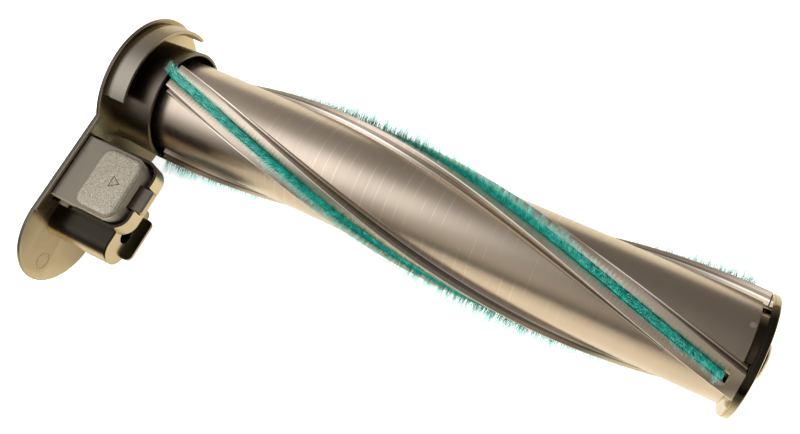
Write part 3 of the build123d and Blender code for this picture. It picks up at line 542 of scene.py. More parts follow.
def build_rings():
    """Hairline rings round the roller's axis, strongest at the middle of its length, and fine streaks."""
    inputs = (("Pitch", RING_PITCH), ("Width", RING_WIDTH))
    group, given, result = new_group("turning_rings", inputs, ("Line", "Streak"))
    where = group.nodes.new("ShaderNodeTexCoord").outputs["Object"]
    along, _, _ = split_xyz(group, where)
    phase = math_node(group, "FRACT", math_node(group, "DIVIDE", along, given.outputs["Pitch"]))
    off_line = math_node(group, "ABSOLUTE", math_node(group, "SUBTRACT", phase, 0.5))
    off_line = math_node(group, "DIVIDE", off_line, given.outputs["Width"])
    line = math_node(group, "SUBTRACT", 1.0, off_line, clamp=True)
    entering = smooth_step(group, along, *RINGS_ENTER)
    leaving = smooth_step(group, along, *RINGS_LEAVE)
    patches = noise_node(group, where, RING_PATCH_SCALE, RING_PATCH_DETAIL)
    patchy = smooth_step(group, patches, *RING_PATCH_SPAN)
    feed(group, result.inputs["Line"], times(group, line, entering, leaving, patchy))
    stretched = group.nodes.new("ShaderNodeMapping")
    stretched.inputs["Scale"].default_value = STREAK_SCALE
    group.links.new(where, stretched.inputs["Vector"])
    feed(group, result.inputs["Streak"], noise_node(group, stretched.outputs["Vector"], 1.0, GRAIN_DETAIL))
    return group


def build_rail_painted_light():
    """Masks that follow the twisted rails, for painted shade and painted highlights: crease beside the ledge,
    top edges, ledge edge, slot's inside.
    """
    group, _, result = new_group("rail_painted_light", (), tuple(RAIL_MASKS))
    along, across, up = split_xyz(group, group.nodes.new("ShaderNodeTexCoord").outputs["Object"])
    wound = math_node(group, "MULTIPLY_ADD", along, TWIST, rail_angle(0))
    turn = math_node(group, "SUBTRACT", math_node(group, "ARCTAN2", up, across), wound)
    turn = math_node(group, "WRAP", turn, pi / RAIL_COUNT, -pi / RAIL_COUNT)
    squares = math_node(group, "ADD", times(group, across, across), times(group, up, up))
    radius = math_node(group, "SQRT", squares)
    side = math_node(group, "ABSOLUTE", times(group, radius, math_node(group, "SINE", turn)))
    height = times(group, radius, math_node(group, "COSINE", turn))
    on_rail = math_node(group, "GREATER_THAN", along, RAIL_START)
    for label, (sideways, upright) in RAIL_MASKS.items():
        mask = times(group, band(group, side, *sideways), band(group, height, *upright), on_rail)
        feed(group, result.inputs[label], mask)
    return group


surface_grain = build_grain()
rail_painted_light = build_rail_painted_light()
turning_rings = build_rings()


# Materials

# Grain: scale, bump depth and bump strength
MOULDED_GRAIN = (3500.0, 0.004 * MM, 0.3)
GLOSSY_GRAIN = (3000.0, 0.003 * MM, 0.3)
TURNED_GRAIN = (2500.0, 0.003 * MM, 0.3)
RUBBERY_GRAIN = (3000.0, 0.01 * MM, 0.5)
TUBE_GRAIN = (2500.0, 0.003 * MM, 0.25)
CORE_GRAIN = (3800.0, 0.35 * MM, 1.0)
PAD_GRAIN = (3100.0, 0.06 * MM, 0.8)
SLANT_BLEND = 0.5
GLOSS_SPAN = (0.24, 0.52)
SMUDGED_GLOSS = 0.9
# Marks, each a strength and colour: real rings, flecks and smudges, painted shade in the rail's creases and
# slots, and a painted highlight on its edges
RING_STAIN = (0.55, (0.95, 0.89, 0.82))
# Painted highlight along the rail's top edges and the ledge's edge
EDGE_PAINTED_HIGHLIGHT = (0.7, (0.95, 0.89, 0.81))
# Painted shade in the crease beside the ledge, then inside the slot's pocket
CREASE_PAINTED_SHADE = (0.65, (0.12, 0.10, 0.08))
POCKET_PAINTED_SHADE = (0.9, (0.03, 0.03, 0.025))
CORE_STAIN = (1.0, (0.02, 0.43, 0.34))
PAD_STAIN = (0.3, (0.30, 0.265, 0.21))
TUBE_TINTS = ((0.60, 0.495, 0.40), (0.55, 0.455, 0.37))
TUBE_ROUGHNESS = (0.24, 0.36)
TUBE_SMUDGE_SCALE = 30.0
# Colour along the fibre, root to tip: the pale tips are painted light shining through the fibres
FIBRE_STOPS = (
    (0.0, (0.0, 0.17, 0.13)),
    (0.45, (0.01, 0.42, 0.33)),
    (0.74, (0.20, 0.90, 0.78)),
    (1.0, (0.80, 1.0, 0.98)),
)
FIBRE_SHADES = ((0.55, 0.6, 0.6), (1.15, 1.1, 1.1))
FIBRE_ROUGHNESS = 0.4
CORE_TINTS = ((0.0, 0.085, 0.065), (0.01, 0.31, 0.24))
CORE_ROUGHNESS = (0.7, 0.85)
CORE_SMUDGE_SCALE = 420.0
CORE_FLECK_SPAN = (0.50, 0.68)
PAD_TINTS = ((0.22, 0.195, 0.155), (0.55, 0.49, 0.39))
PAD_ROUGHNESS = (0.5, 0.4)
PAD_METALLIC = 0.9
PAD_SPECK_SPAN = (0.36, 0.64)


def new_material(name, metallic=0.0):
    """Empty node material with one Principled BSDF."""
    material = bpy.data.materials.new(name)
    material.use_nodes = True
    shader = material.node_tree.nodes["Principled BSDF"]
    shader.inputs["Metallic"].default_value = metallic
    return material, material.node_tree, shader


def place_group(tree, group, **values):
    """Outputs of a shader group placed in a material with its own values."""
    node = tree.nodes.new("ShaderNodeGroup")
    node.node_tree = group
    for label, value in values.items():
        node.inputs[label.replace("_", " ")].default_value = value
    return node.outputs


def grainy_material(name, metallic, grain, smudge_scale=SMUDGE_SCALE):
    """Material with the shared grain in its bump, and the grain's height and smudge mask."""
    material, tree, shader = new_material(name, metallic)
    scale, depth, strength = grain
    surface = place_group(tree, surface_grain, Grain_Scale=scale, Smudge_Scale=smudge_scale)
    bump = tree.nodes.new("ShaderNodeBump")
    for label, given in (("Distance", depth), ("Strength", strength), ("Height", surface["Height"])):
        feed(tree, bump.inputs[label], given)
    tree.links.new(bump.outputs["Normal"], shader.inputs["Normal"])
    return material, tree, shader, surface["Height"], surface["Smudge"]


def paint(tree, shader, colour, roughness):
    """Feed a shader's colour and roughness."""
    feed(tree, shader.inputs["Base Color"], colour)
    feed(tree, shader.inputs["Roughness"], roughness)


def stain_and_painted_light(tree, tint, mask, strength, colour):
    """Blend a tint towards a colour by a mask at a given strength: real stains and flecks, and also painted
    shade and painted highlights.
    """
    return mix_colours(tree, times(tree, mask, strength), tint, colour)


def grained_finish(name, colour, worn_colour, metallic, roughness, grain):
    """Satin finish whose colour, roughness and bump vary with the shared grain."""
    material, tree, shader, _, smudge = grainy_material(name, metallic, grain)
    paint(tree, shader, mix_colours(tree, smudge, colour, worn_colour), mix_values(tree, smudge, *roughness))
    return material


def lacquered_finish(name, square_on, aslant, roughness, grain=MOULDED_GRAIN, metallic=1.0):
    """Dark mirror lacquer: dim where seen square-on, and a bronze mirror where seen aslant."""
    material, tree, shader, _, smudge = grainy_material(name, metallic, grain)
    slant = tree.nodes.new("ShaderNodeLayerWeight")
    slant.inputs["Blend"].default_value = SLANT_BLEND
    gloss = smooth_step(tree, slant.outputs["Facing"], *GLOSS_SPAN)
    gloss = times(tree, gloss, mix_values(tree, smudge, 1.0, SMUDGED_GLOSS))
    paint(tree, shader, mix_colours(tree, gloss, square_on, aslant), mix_values(tree, smudge, *roughness))
    return material


def champagne_metal():
    """Satin anodised tube with hairline rings, painted shade in its creases and slots, and painted highlights
    on the rail edges.
    """
    material, tree, shader, _, smudge = grainy_material("champagne_metal", 1.0, TUBE_GRAIN, TUBE_SMUDGE_SCALE)
    rings = place_group(tree, turning_rings)
    painted_light_masks = place_group(tree, rail_painted_light)
    tint = mix_colours(tree, smudge, *TUBE_TINTS)
    tint = stain_and_painted_light(tree, tint, rings["Line"], *RING_STAIN)
    # Painted shade in the crease beside the ledge and inside the slot's pocket
    tint = stain_and_painted_light(tree, tint, painted_light_masks["Crease"], *CREASE_PAINTED_SHADE)
    tint = stain_and_painted_light(tree, tint, painted_light_masks["Pocket"], *POCKET_PAINTED_SHADE)
    # Painted highlight along the rail's top edges and the ledge's edge
    tint = stain_and_painted_light(tree, tint, math_node(tree, "MAXIMUM", painted_light_masks["Edge"], painted_light_masks["Ledge"]), *EDGE_PAINTED_HIGHLIGHT)
    paint(tree, shader, tint, mix_values(tree, rings["Streak"], *TUBE_ROUGHNESS))
    return material


def bristle_fibre():
    """Teal fibre, deep at its root and painted pale at its tip for light shining through it, each a little
    lighter or darker.
    """
    material, tree, shader = new_material("bristle_fibre")
    uv = tree.nodes.new("ShaderNodeUVMap")
    uv.uv_map = "fibre"
    shade, height, _ = split_xyz(tree, uv.outputs["UV"])
    along = colour_ramp(tree, height, FIBRE_STOPS)
    tint = mix_colours(tree, 1.0, along, mix_colours(tree, shade, *FIBRE_SHADES), "MULTIPLY")
    paint(tree, shader, tint, FIBRE_ROUGHNESS)
    return material


def bristle_core():
    """Matted lower part of the pile, where the fibres stand too close to part."""
    made = grainy_material("bristle_core", 0.0, CORE_GRAIN, CORE_SMUDGE_SCALE)
    material, tree, shader, height, smudge = made
    fleck = smooth_step(tree, height, *CORE_FLECK_SPAN)
    tint = stain_and_painted_light(tree, mix_colours(tree, smudge, *CORE_TINTS), fleck, *CORE_STAIN)
    paint(tree, shader, tint, mix_values(tree, smudge, *CORE_ROUGHNESS))
    return material


def textured_pad():
    """Satin pad with a coarse spark-eroded texture."""
    material, tree, shader, height, smudge = grainy_material("button_pad", PAD_METALLIC, PAD_GRAIN)
    speck = smooth_step(tree, height, *PAD_SPECK_SPAN)
    tint = stain_and_painted_light(tree, mix_colours(tree, speck, *PAD_TINTS), smudge, *PAD_STAIN)
    paint(tree, shader, tint, mix_values(tree, speck, *PAD_ROUGHNESS))
    return material


# Lacquers: colour square-on, colour aslant, roughness clean and smudged
lacquers = {
    "cap": ("gunmetal_lacquer", (0.062, 0.053, 0.042), (0.66, 0.535, 0.338), (0.2, 0.3)),
    "outside": ("cap_outside", (0.062, 0.053, 0.042), (0.16, 0.138, 0.102), (0.3, 0.36)),
    "housing": ("housing_lacquer", (0.028, 0.024, 0.018), (0.58, 0.475, 0.31), (0.16, 0.24)),
    "arc": ("brushed_arc", (0.27, 0.24, 0.20), (0.50, 0.41, 0.27), (0.3, 0.38)),
    "collar": ("collar_lacquer", (0.13, 0.106, 0.082), (0.22, 0.185, 0.12), (0.28, 0.36)),
    "button": ("button_shell", (0.155, 0.134, 0.104), (0.55, 0.47, 0.35), (0.3, 0.38), MOULDED_GRAIN, 0.7),
    "black": ("black_gloss", (0.05, 0.043, 0.033), (0.50, 0.42, 0.27), (0.1, 0.18), GLOSSY_GRAIN),
    "slide": ("slide_plastic", (0.11, 0.097, 0.078), (0.50, 0.41, 0.27), (0.26, 0.34), GLOSSY_GRAIN),
}
# Grained finishes: colour clean and smudged, metallic, roughness clean and smudged, grain
grained = {
    # Painted shade: the arrow's groove gets a near black finish for the shade in the cut
    "groove": ("arrow_groove", (0.035, 0.032, 0.028), (0.05, 0.045, 0.04), 0.5, (0.4, 0.5), MOULDED_GRAIN),
    "steel": ("turned_steel", (0.60, 0.59, 0.57), (0.52, 0.51, 0.49), 1.0, (0.22, 0.34), TURNED_GRAIN),
    "pin": ("polished_pin", (0.90, 0.86, 0.80), (0.80, 0.76, 0.70), 1.0, (0.12, 0.2), TURNED_GRAIN),
    "backing": ("strip_backing", (0.012, 0.05, 0.046), (0.02, 0.07, 0.065), 0.0, (0.5, 0.6), RUBBERY_GRAIN),
}
finishes = {name: lacquered_finish(*values) for name, values in lacquers.items()}
finishes.update({name: grained_finish(*values) for name, values in grained.items()})
finishes.update(tube=champagne_metal(), fibre=bristle_fibre(), core=bristle_core(), pad=textured_pad())
FINISH_OF_SLOT = {"steel": "steel", "backing": "backing", "hub_plastic": "black"}


# Roller


def make_tube():
    """Plain tube: an open cylinder along X, its rims pulled in to the bore and bridged through it."""
    start_piece()
    bpy.ops.mesh.primitive_cylinder_add(
        vertices=TUBE_SIDES,
        radius=TUBE_RADIUS,
        depth=TUBE_END - TUBE_START,
        end_fill_type="NOTHING",
        location=((TUBE_START + TUBE_END) / 2, 0, 0),
        rotation=(0, pi / 2, 0),
    )
    tube = bpy.context.object
    bpy.ops.object.transform_apply(location=True, rotation=True)
    rims = (TUBE_START, TUBE_END)
    shrink = TUBE_BORE / TUBE_RADIUS
    for rim_place in rims:
        choose(tube, "edges", lambda middle: abs(middle.x - rim_place) < PICK_GAP)
        bpy.ops.mesh.extrude_edges_move()
        bpy.ops.transform.resize(value=(1, shrink, shrink), center_override=(rim_place, 0, 0))
        stop_editing()
    choose(tube, "edges", lambda middle: middle.yz.length < TUBE_BORE + PICK_GAP)
    bpy.ops.mesh.bridge_edge_loops()
    stop_editing()
    outward(tube)

    def on_outer_rim(middle):
        at_end = min(abs(middle.x - rim) for rim in rims) < PICK_GAP
        return at_end and middle.yz.length > TUBE_RADIUS - PICK_GAP

    choose(tube, "edges", on_outer_rim)
    bpy.ops.mesh.bevel(offset=TUBE_RIM_ROUND, segments=ROUND_STEPS)
    stop_editing()
    return tube


def mirrored_outline(half):
    """Outline of (side, height) points closed by its own mirror image."""
    return half + [(-side, height) for side, height in reversed(half)]


def make_rail(turn):
    """One rail with the undercut slot for its strip, which stops short of the drive end."""
    outline = [(-RAIL_HALF, LEDGE_TOP), (-LEDGE_HALF, LEDGE_TOP), (-LEDGE_HALF, RAIL_ROOT)]
    outline = mirrored_outline(outline) + [(RAIL_HALF, RAIL_TOP), (-RAIL_HALF, RAIL_TOP)]
    rail = wind(outline, RAIL_START, RAIL_END, turn, RAIL_TOP - PICK_GAP)
    slot = [
        (THROAT_HALF + RAIL_EDGE_ROUND, RAIL_TOP + SLOT_RUN_UP),
        (THROAT_HALF + RAIL_EDGE_ROUND, RAIL_TOP),
        (THROAT_HALF + THROAT_ROUND, RAIL_TOP - THROAT_ROUND),
        (THROAT_HALF, RAIL_TOP - RAIL_EDGE_ROUND),
        (THROAT_HALF, POCKET_TOP),
        (POCKET_HALF, POCKET_TOP),
        (POCKET_HALF, POCKET_FLOOR),
    ]
    cut_away(rail, wind(mirrored_outline(slot), RAIL_START - SLOT_RUN_OUT, SLOT_END, turn))
    return rail


def make_roller_shell():
    """Tube and rails joined into the piece that stands for the CAD tube."""
    rails = [make_rail(2 * pi * index / RAIL_COUNT) for index in range(RAIL_COUNT)]
    shell = join_pieces([make_tube(), *rails], "roller_shell", "tube")
    smooth_up_to(shell, SHELL_ANGLE)
    place(shell, "roller_tube")


def model_fibre():
    """Points and triangles of one straight closed fibre of unit height and radius, thinner at its tip."""
    start_piece()
    bpy.ops.mesh.primitive_cylinder_add(vertices=3, radius=1, depth=1, location=(0, 0, 0.5))
    fibre = bpy.context.object
    bpy.ops.object.transform_apply(location=True)
    edit_everything()
    bpy.ops.mesh.bisect(plane_co=(0, 0, 0.5), plane_no=(0, 0, 1))
    bpy.ops.mesh.select_all(action="SELECT")
    bpy.ops.mesh.quads_convert_to_tris()
    stop_editing()
    for level, width in FIBRE_TAPER:
        choose(fibre, "vertices", lambda point: abs(point.z - level) < FIBRE_LEVEL_GAP)
        bpy.ops.transform.resize(value=(width, width, 1), center_override=(0, 0, level))
        stop_editing()
    points = np.array([vertex.co[:] for vertex in fibre.data.vertices])
    faces = np.array([tuple(face.vertices) for face in fibre.data.polygons])
    bpy.data.objects.remove(fibre)
    return points, faces


def plant_fibres(rng, points, turn):
    """Corner points of a strip's fibres, set in leaning tufts along one rail's slot."""
    count = FIBRES_PER_STRIP
    tufts = int((PILE_END - PILE_START) / TUFT_PITCH)
    tuft = rng.integers(0, tufts, count)
    lean = rng.normal(0, TUFT_LEAN, (tufts, 2))
    along = PILE_START + (tuft + 0.5) * TUFT_PITCH + rng.normal(0, TUFT_LENGTH, count)
    along = np.clip(along, PILE_START + PILE_END_GAP, PILE_END - PILE_END_GAP)
    across = rng.uniform(-1, 1, count) * (THROAT_HALF - PILE_SIDE_GAP)
    tip_along = lean[tuft, 0] + rng.normal(0, TIP_STRAY_ALONG, count)
    tip_across = across * TIP_SPREAD + lean[tuft, 1] * TUFT_LEAN_ACROSS
    tip_across += rng.normal(0, TIP_STRAY_ACROSS, count)
    tip = np.clip(BRISTLE_TIP + rng.normal(-TIP_DROP, TIP_VARIES, count), TIP_LOWEST, TIP_HIGHEST)
    bow = rng.normal(0, FIBRE_BOW, (count, 2))
    spin = rng.uniform(0, 2 * pi, count)[:, None]
    height = points[:, 2][None, :]
    arch = height * (1 - height) * 4
    ring_x = points[:, 0] * np.cos(spin) - points[:, 1] * np.sin(spin)
    ring_y = points[:, 0] * np.sin(spin) + points[:, 1] * np.cos(spin)
    x = along[:, None] + tip_along[:, None] * height + bow[:, :1] * arch + ring_x * FIBRE_RADIUS
    sideways = across[:, None] + tip_across[:, None] * height + bow[:, 1:] * arch + ring_y * FIBRE_RADIUS
    upright = FIBRE_ROOT + (tip - FIBRE_ROOT)[:, None] * height
    angle = rail_angle(x) + turn
    y = upright * np.cos(angle) - sideways * np.sin(angle)
    z = upright * np.sin(angle) + sideways * np.cos(angle)
    return np.stack([x, y, z], axis=2).reshape(-1, 3)


def make_pile(index, points, faces):
    """Thousands of copies of the fibre along one rail's slot, on the strip's matted core."""
    rng = np.random.default_rng(PILE_SEED + index)
    turn = 2 * pi * index / RAIL_COUNT
    corners = plant_fibres(rng, points, turn)
    first_points = (np.arange(FIBRES_PER_STRIP) * len(points))[:, None, None]
    mesh = bpy.data.meshes.new("bristle_strip")
    mesh.from_pydata(corners.tolist(), [], (faces[None] + first_points).reshape(-1, 3).tolist())
    shade = np.repeat(rng.uniform(0, 1, FIBRES_PER_STRIP), len(points))
    height = np.tile(points[:, 2], FIBRES_PER_STRIP)
    loops = np.zeros(len(mesh.loops), dtype=np.int32)
    mesh.loops.foreach_get("vertex_index", loops)
    uv = mesh.uv_layers.new(name="fibre")
    uv.data.foreach_set("uv", np.stack([shade[loops], height[loops]], axis=1).ravel())
    round_side = np.ptp(points[faces, 2], axis=1) > FIBRE_LEVEL_GAP
    mesh.polygons.foreach_set("use_smooth", np.tile(round_side, FIBRES_PER_STRIP))
    mesh.update()
    fibres = bpy.data.objects.new("fibres", mesh)
    bpy.context.scene.collection.objects.link(fibres)
    dress(fibres, "fibre")
    outline = [(side * MM, height * MM) for side, height in CORE_OUTLINE]
    core = wind(outline, PILE_START + CORE_END_GAP, PILE_END - CORE_END_GAP, turn)
    dress(core, "core")
    smooth_up_to(core, SOFT_ANGLE)
    place(join_pieces([fibres, core], f"bristle_strip_{index + 1}", "fibre"), f"bristle_pile_{index + 1}")


# Side cap


def make_plate():
    """Plate with its arm: the outline thickened, an ejector mark cut in, and the lip along its top edge."""
    floor_side = pi - REST_TILT
    top_corner = sqrt(PLATE_RADIUS**2 - PLATE_TOP**2)
    outline = arc_points((LOBE_RISE, LOBE_REACH), LOBE_RADIUS, 0, floor_side, LOBE_STEPS)
    corner_angle = 2 * pi + atan2(top_corner, PLATE_TOP)
    outline += arc_points((0, 0), PLATE_RADIUS, floor_side, corner_angle, PLATE_STEPS)
    plate = prism(outline, -PLATE_THICKNESS, 0)
    ease_edges(plate, PLATE_ROUND, ROUND_STEPS)
    mark = (EJECTOR_RISE, EJECTOR_REACH)
    ring = prism(ring_points(mark, EJECTOR_RADIUS, RING_SIDES), -EJECTOR_LINE, EJECTOR_LINE)
    inside = ring_points(mark, EJECTOR_RADIUS - EJECTOR_LINE, RING_SIDES)
    cut_away(ring, prism(inside, -2 * EJECTOR_LINE, 2 * EJECTOR_LINE))
    cut_away(plate, ring)
    lip_top, lip_foot = PLATE_TOP - LIP_INSET, PLATE_TOP - LIP_INSET - LIP_WIDTH
    lip_start, lip_end = top_corner + LIP_INSET, LOBE_REACH + LIP_INSET
    strip = ((lip_top, lip_start), (lip_top, lip_end), (lip_foot, lip_end), (lip_foot, lip_start))
    lip = prism(strip, -LIP_HEIGHT, LIP_HEIGHT)
    ease_edges(lip, LIP_HEIGHT / 2, ROUND_STEPS)
    # The lip gets the lighter arc finish, a painted highlight line along the top edge
    dress(lip, "arc")
    dress(plate, "cap", "arc", "outside")
    # Rounded rim faces get the lighter arc finish, painting highlight lines along the rim; the outer faces
    # get the outside finish
    for face in plate.data.polygons:
        off_mark = (face.center - on_cap(*mark)).length > EJECTOR_CLEAR
        if -PLATE_ROUND < face.center.x < -FACE_GAP and off_mark:
            face.material_index = 1
        elif face.center.x < PLATE_OUTSIDE:
            face.material_index = 2
    return [plate, lip]


def make_arc():
    """Arc wall with the groove at its root."""
    inside, groove_floor = ARC_RADIUS - ARC_WALL, ARC_RADIUS - ARC_GROOVE_DEPTH
    profile = (
        (PLATE_ROOT, inside),
        (ARC_WIDTH, inside),
        (ARC_WIDTH, ARC_RADIUS),
        (ARC_GROOVE, ARC_RADIUS),
        (ARC_GROOVE, groove_floor),
        (PLATE_ROOT, groove_floor),
    )
    arc = lathe(profile, ARC_STEPS, ARC_START, ARC_SPAN)
    ease_edges(arc, ARC_EASE, angle=TURNED_ANGLE)
    dress(arc, "arc")
    return arc


def make_collar():
    """Collar round the roller's end, a little wider at its mouth."""
    profile = (
        (PLATE_ROOT, COLLAR_BORE - COLLAR_DRAFT),
        (COLLAR_LENGTH, COLLAR_BORE),
        (COLLAR_LENGTH, COLLAR_BORE + COLLAR_WALL),
        (PLATE_ROOT, COLLAR_BORE + COLLAR_WALL - COLLAR_DRAFT),
    )
    collar = lathe(profile, COLLAR_STEPS)
    ease_edges(collar, COLLAR_EASE, ROUND_STEPS, TURNED_ANGLE)
    dress(collar, "collar")
    return collar


def make_hub():
    """Hub that holds the stub axle."""
    bore = ((PLATE_ROOT, AXLE_RADIUS), (HUB_LENGTH, AXLE_RADIUS))
    hub = lathe((*bore, (HUB_LENGTH, HUB_RADIUS), (PLATE_ROOT, HUB_RADIUS)), HUB_STEPS)
    ease_edges(hub, HUB_EASE, angle=TURNED_ANGLE)
    return hub


def make_rib(turn):
    """One rib from the hub to the collar."""
    near, far, half = HUB_RADIUS - RIB_THICKNESS, COLLAR_BORE - COLLAR_DRAFT, RIB_THICKNESS / 2
    corners = ((near, -half), (far, -half), (far, half), (near, half))
    turned = [(u * cos(turn) - v * sin(turn), u * sin(turn) + v * cos(turn)) for u, v in corners]
    rib = prism(turned, PLATE_ROOT, RIB_HEIGHT)
    ease_edges(rib, RIB_EASE)
    return rib


def make_boss():
    """Screw boss under the latch housing."""
    centre = (SCREW_RISE, SCREW_REACH)
    boss = prism(ring_points(centre, BOSS_RADIUS, RING_SIDES), PLATE_ROOT, BOSS_LENGTH)
    cut_away(boss, prism(ring_points(centre, BOSS_BORE, BORE_SIDES), 0, 2 * BOSS_LENGTH))
    ease_edges(boss, 0)
    return boss


def make_cap():
    """Side cap: plate, arc wall, collar, hub with ribs and screw boss."""
    ribs = [make_rib(2 * pi * index / RIB_COUNT) for index in range(RIB_COUNT)]
    pieces = [*make_plate(), make_arc(), make_collar(), make_hub(), *ribs, make_boss()]
    place(join_pieces(pieces, "side_cap_moulding", "cap"), "end_cap")


# Latch


def dressed_copy(node, finish, edge=0.0):
    """Merged and smooth copy of a CAD node that stands for it, with its sharp edges eased."""
    start_piece()
    nodes[node].select_set(True)
    make_active(nodes[node])
    bpy.ops.object.duplicate()
    piece = bpy.context.object
    piece.parent = None
    piece.name = f"{node}_dressed"
    for key in list(piece.keys()):
        del piece[key]
    bpy.ops.mesh.customdata_custom_splitnormals_clear()
    edit_everything()
    bpy.ops.mesh.remove_doubles(threshold=MERGE_GAP)
    bpy.ops.mesh.dissolve_limited(angle_limit=radians(COPLANAR_ANGLE))
    stop_editing()
    ease_edges(piece, edge)
    piece.data.materials.clear()
    dress(piece, finish)
    place(piece, node)
    return piece


def make_housing():
    """Latch housing from the CAD; its locating foot gets the lighter slide finish, painted light where the
    housing's lacquer falls dark.
    """
    housing = dressed_copy("latch_housing", "housing", HOUSING_EASE)
    dress(housing, "slide")
    # Painted light: the foot's faces get the lighter slide finish
    for face in housing.data.polygons:
        past_block = face.center.x > BLOCK_END + PICK_GAP
        if past_block and face.center.dot(RISE) < FOOT_TOP + PICK_GAP:
            face.material_index = 1


def make_arrow_tool(size, height, depth):
    """Three-sided block round the arrow's place, reaching as far above the pad's top as below it."""
    corners = []
    for index in range(3):
        turn = 2 * pi * index / 3 + pi / 2
        reach = BUTTON_MIDDLE - ARROW_SHIFT + size * cos(turn)
        corners.append(on_cap(height - depth, reach, ARROW_PLACE + size * sin(turn)))
    return thicken(corners, RISE * 2 * depth)


def make_pad():
    """Raised pad: a rounded outline stepped inwards and upwards into a pillow, with an arrow cut in."""
    half, low, high = PAD_WIDTH / 2 - PAD_CORNER, PAD_START + PAD_CORNER, PAD_END - PAD_CORNER
    outline = []
    for side, x, start in ((1, high, 0), (-1, high, pi / 2), (-1, low, pi), (1, low, 3 * pi / 2)):
        for step in range(CORNER_STEPS + 1):
            turn = start + pi / 2 * step / CORNER_STEPS
            reach = BUTTON_MIDDLE + side * half + PAD_CORNER * cos(turn)
            outline.append(on_cap(BUTTON_TOP - PAD_SINK, reach, x + PAD_CORNER * sin(turn)))
    pad = flat_outline(outline)
    edit_everything()
    bpy.ops.mesh.extrude_region_move(TRANSFORM_OT_translate={"value": RISE * PAD_SINK})
    height = BUTTON_TOP
    for inset, lift in PAD_STEPS:
        bpy.ops.mesh.inset(thickness=inset * MM, depth=0)
        bpy.ops.transform.translate(value=RISE * lift * MM)
        height += lift * MM
    stop_editing()
    outward(pad)
    smooth_up_to(pad, SOFT_ANGLE)
    ring = make_arrow_tool(ARROW_SIZE, height, ARROW_DEPTH)
    cut_away(ring, make_arrow_tool(ARROW_SIZE - 2 * ARROW_LINE, height, 2 * ARROW_DEPTH))
    cut_away(pad, ring)
    dress(pad, "pad", "groove")
    arrow = on_cap(height, BUTTON_MIDDLE, ARROW_PLACE)
    # Faces sunk below the pad's top round the arrow get the groove finish: painted shade in the cut
    for face in pad.data.polygons:
        by_arrow = (face.center - arrow).length < 2 * ARROW_SIZE
        if by_arrow and face.center.dot(RISE) < height - GROOVE_GAP:
            face.material_index = 1
    return pad


def make_button():
    """The button's shell from the CAD, closed where its pad was, with the pad modelled anew."""
    button = dressed_copy("release_button", "button", BUTTON_EASE)
    choose(button, "polygons", lambda middle: middle.dot(RISE) > BUTTON_TOP + BUTTON_TOP_GAP)
    bpy.ops.mesh.delete(type="FACE")
    bpy.ops.mesh.select_mode(type="EDGE")
    bpy.ops.mesh.select_non_manifold(
        extend=False, use_wire=False, use_multi_face=False, use_non_contiguous=False, use_verts=False
    )
    bpy.ops.mesh.edge_face_add()
    stop_editing()
    join_pieces([button, make_pad()], button.name, "button")


make_roller_shell()
fibre_points, fibre_faces = model_fibre()
for strip in range(RAIL_COUNT):
    make_pile(strip, fibre_points, fibre_faces)
make_cap()
make_housing()
dressed_copy("latch_slide", "slide", HOUSING_EASE)
dressed_copy("drive_hub", "black", DRIVE_HUB_EASE)
make_button()
springs = dressed_copy("return_springs", "steel")
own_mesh(springs)
for node in nodes:
    finish = "pin" if node == "hub_pins" else FINISH_OF_SLOT.get(slot_of[node])
    if finish:
        nodes[node].data.materials.clear()
        dress(nodes[node], finish)


# Stage, lights and camera

CAMERA_PLACE = Vector((200.3, -119.5, 281.4)) * MM
CAMERA_AIM = Vector((118.6, -4.8, -2.0)) * MM
CAMERA_UP = Vector((0, 0.9205, 0.3907))
CAMERA_ROLL = radians(23.84)
CAMERA_LENS = 37.88
CAMERA_SENSOR = 36
CAMERA_NEAREST = 10 * MM

# Lamps: place in millimetres and power; they light the dull surfaces only
LAMPS = {
    "key": ((760, -260, 520), 2.4),
    "fill": ((-160, 560, 420), 7.5),
    "low": ((130, -520, 200), 5.6),
}
LAMP_AIM = Vector((110, 0, 0)) * MM
LAMP_SIZE = 450 * MM

# What the glossy surfaces mirror: the room from -X to +X, a glow in front, a window and a side light
ROOM_STOPS = (
    (0.0, (0.55, 0.53, 0.49)),
    (0.5, (0.20, 0.19, 0.175)),
    (1.0, (0.12, 0.115, 0.11)),
)
ROOM_AHEAD_SPAN = (-0.3, -0.9)
ROOM_LOW_SPAN = (0.5, 0.0)
ROOM_DIMMED = 0.25
FRONT_GLOW = (0.26, 0.23, 0.18)
FRONT_GLOW_BAND = (0.4, 0.6, 0.3)
FRONT_GLOW_SIDE = (-0.45, -0.1)
WINDOW_DIRECTION = (-0.60, -0.25, 0.76)
WINDOW_STOPS = (
    (0.45, (0, 0, 0)),
    (0.66, (0.09, 0.09, 0.09)),
    (0.78, (0.16, 0.16, 0.16)),
    (0.86, (0.50, 0.51, 0.52)),
    (0.93, (1.10, 1.13, 1.16)),
    (1.0, (1.50, 1.55, 1.60)),
)
SIDE_LIGHT_DIRECTION = (0.93, 0.0, 0.36)
SIDE_LIGHT_STOPS = (
    (0.89, (0, 0, 0)),
    (0.96, (0.9, 0.9, 0.87)),
    (1.0, (1.1, 1.1, 1.07)),
)

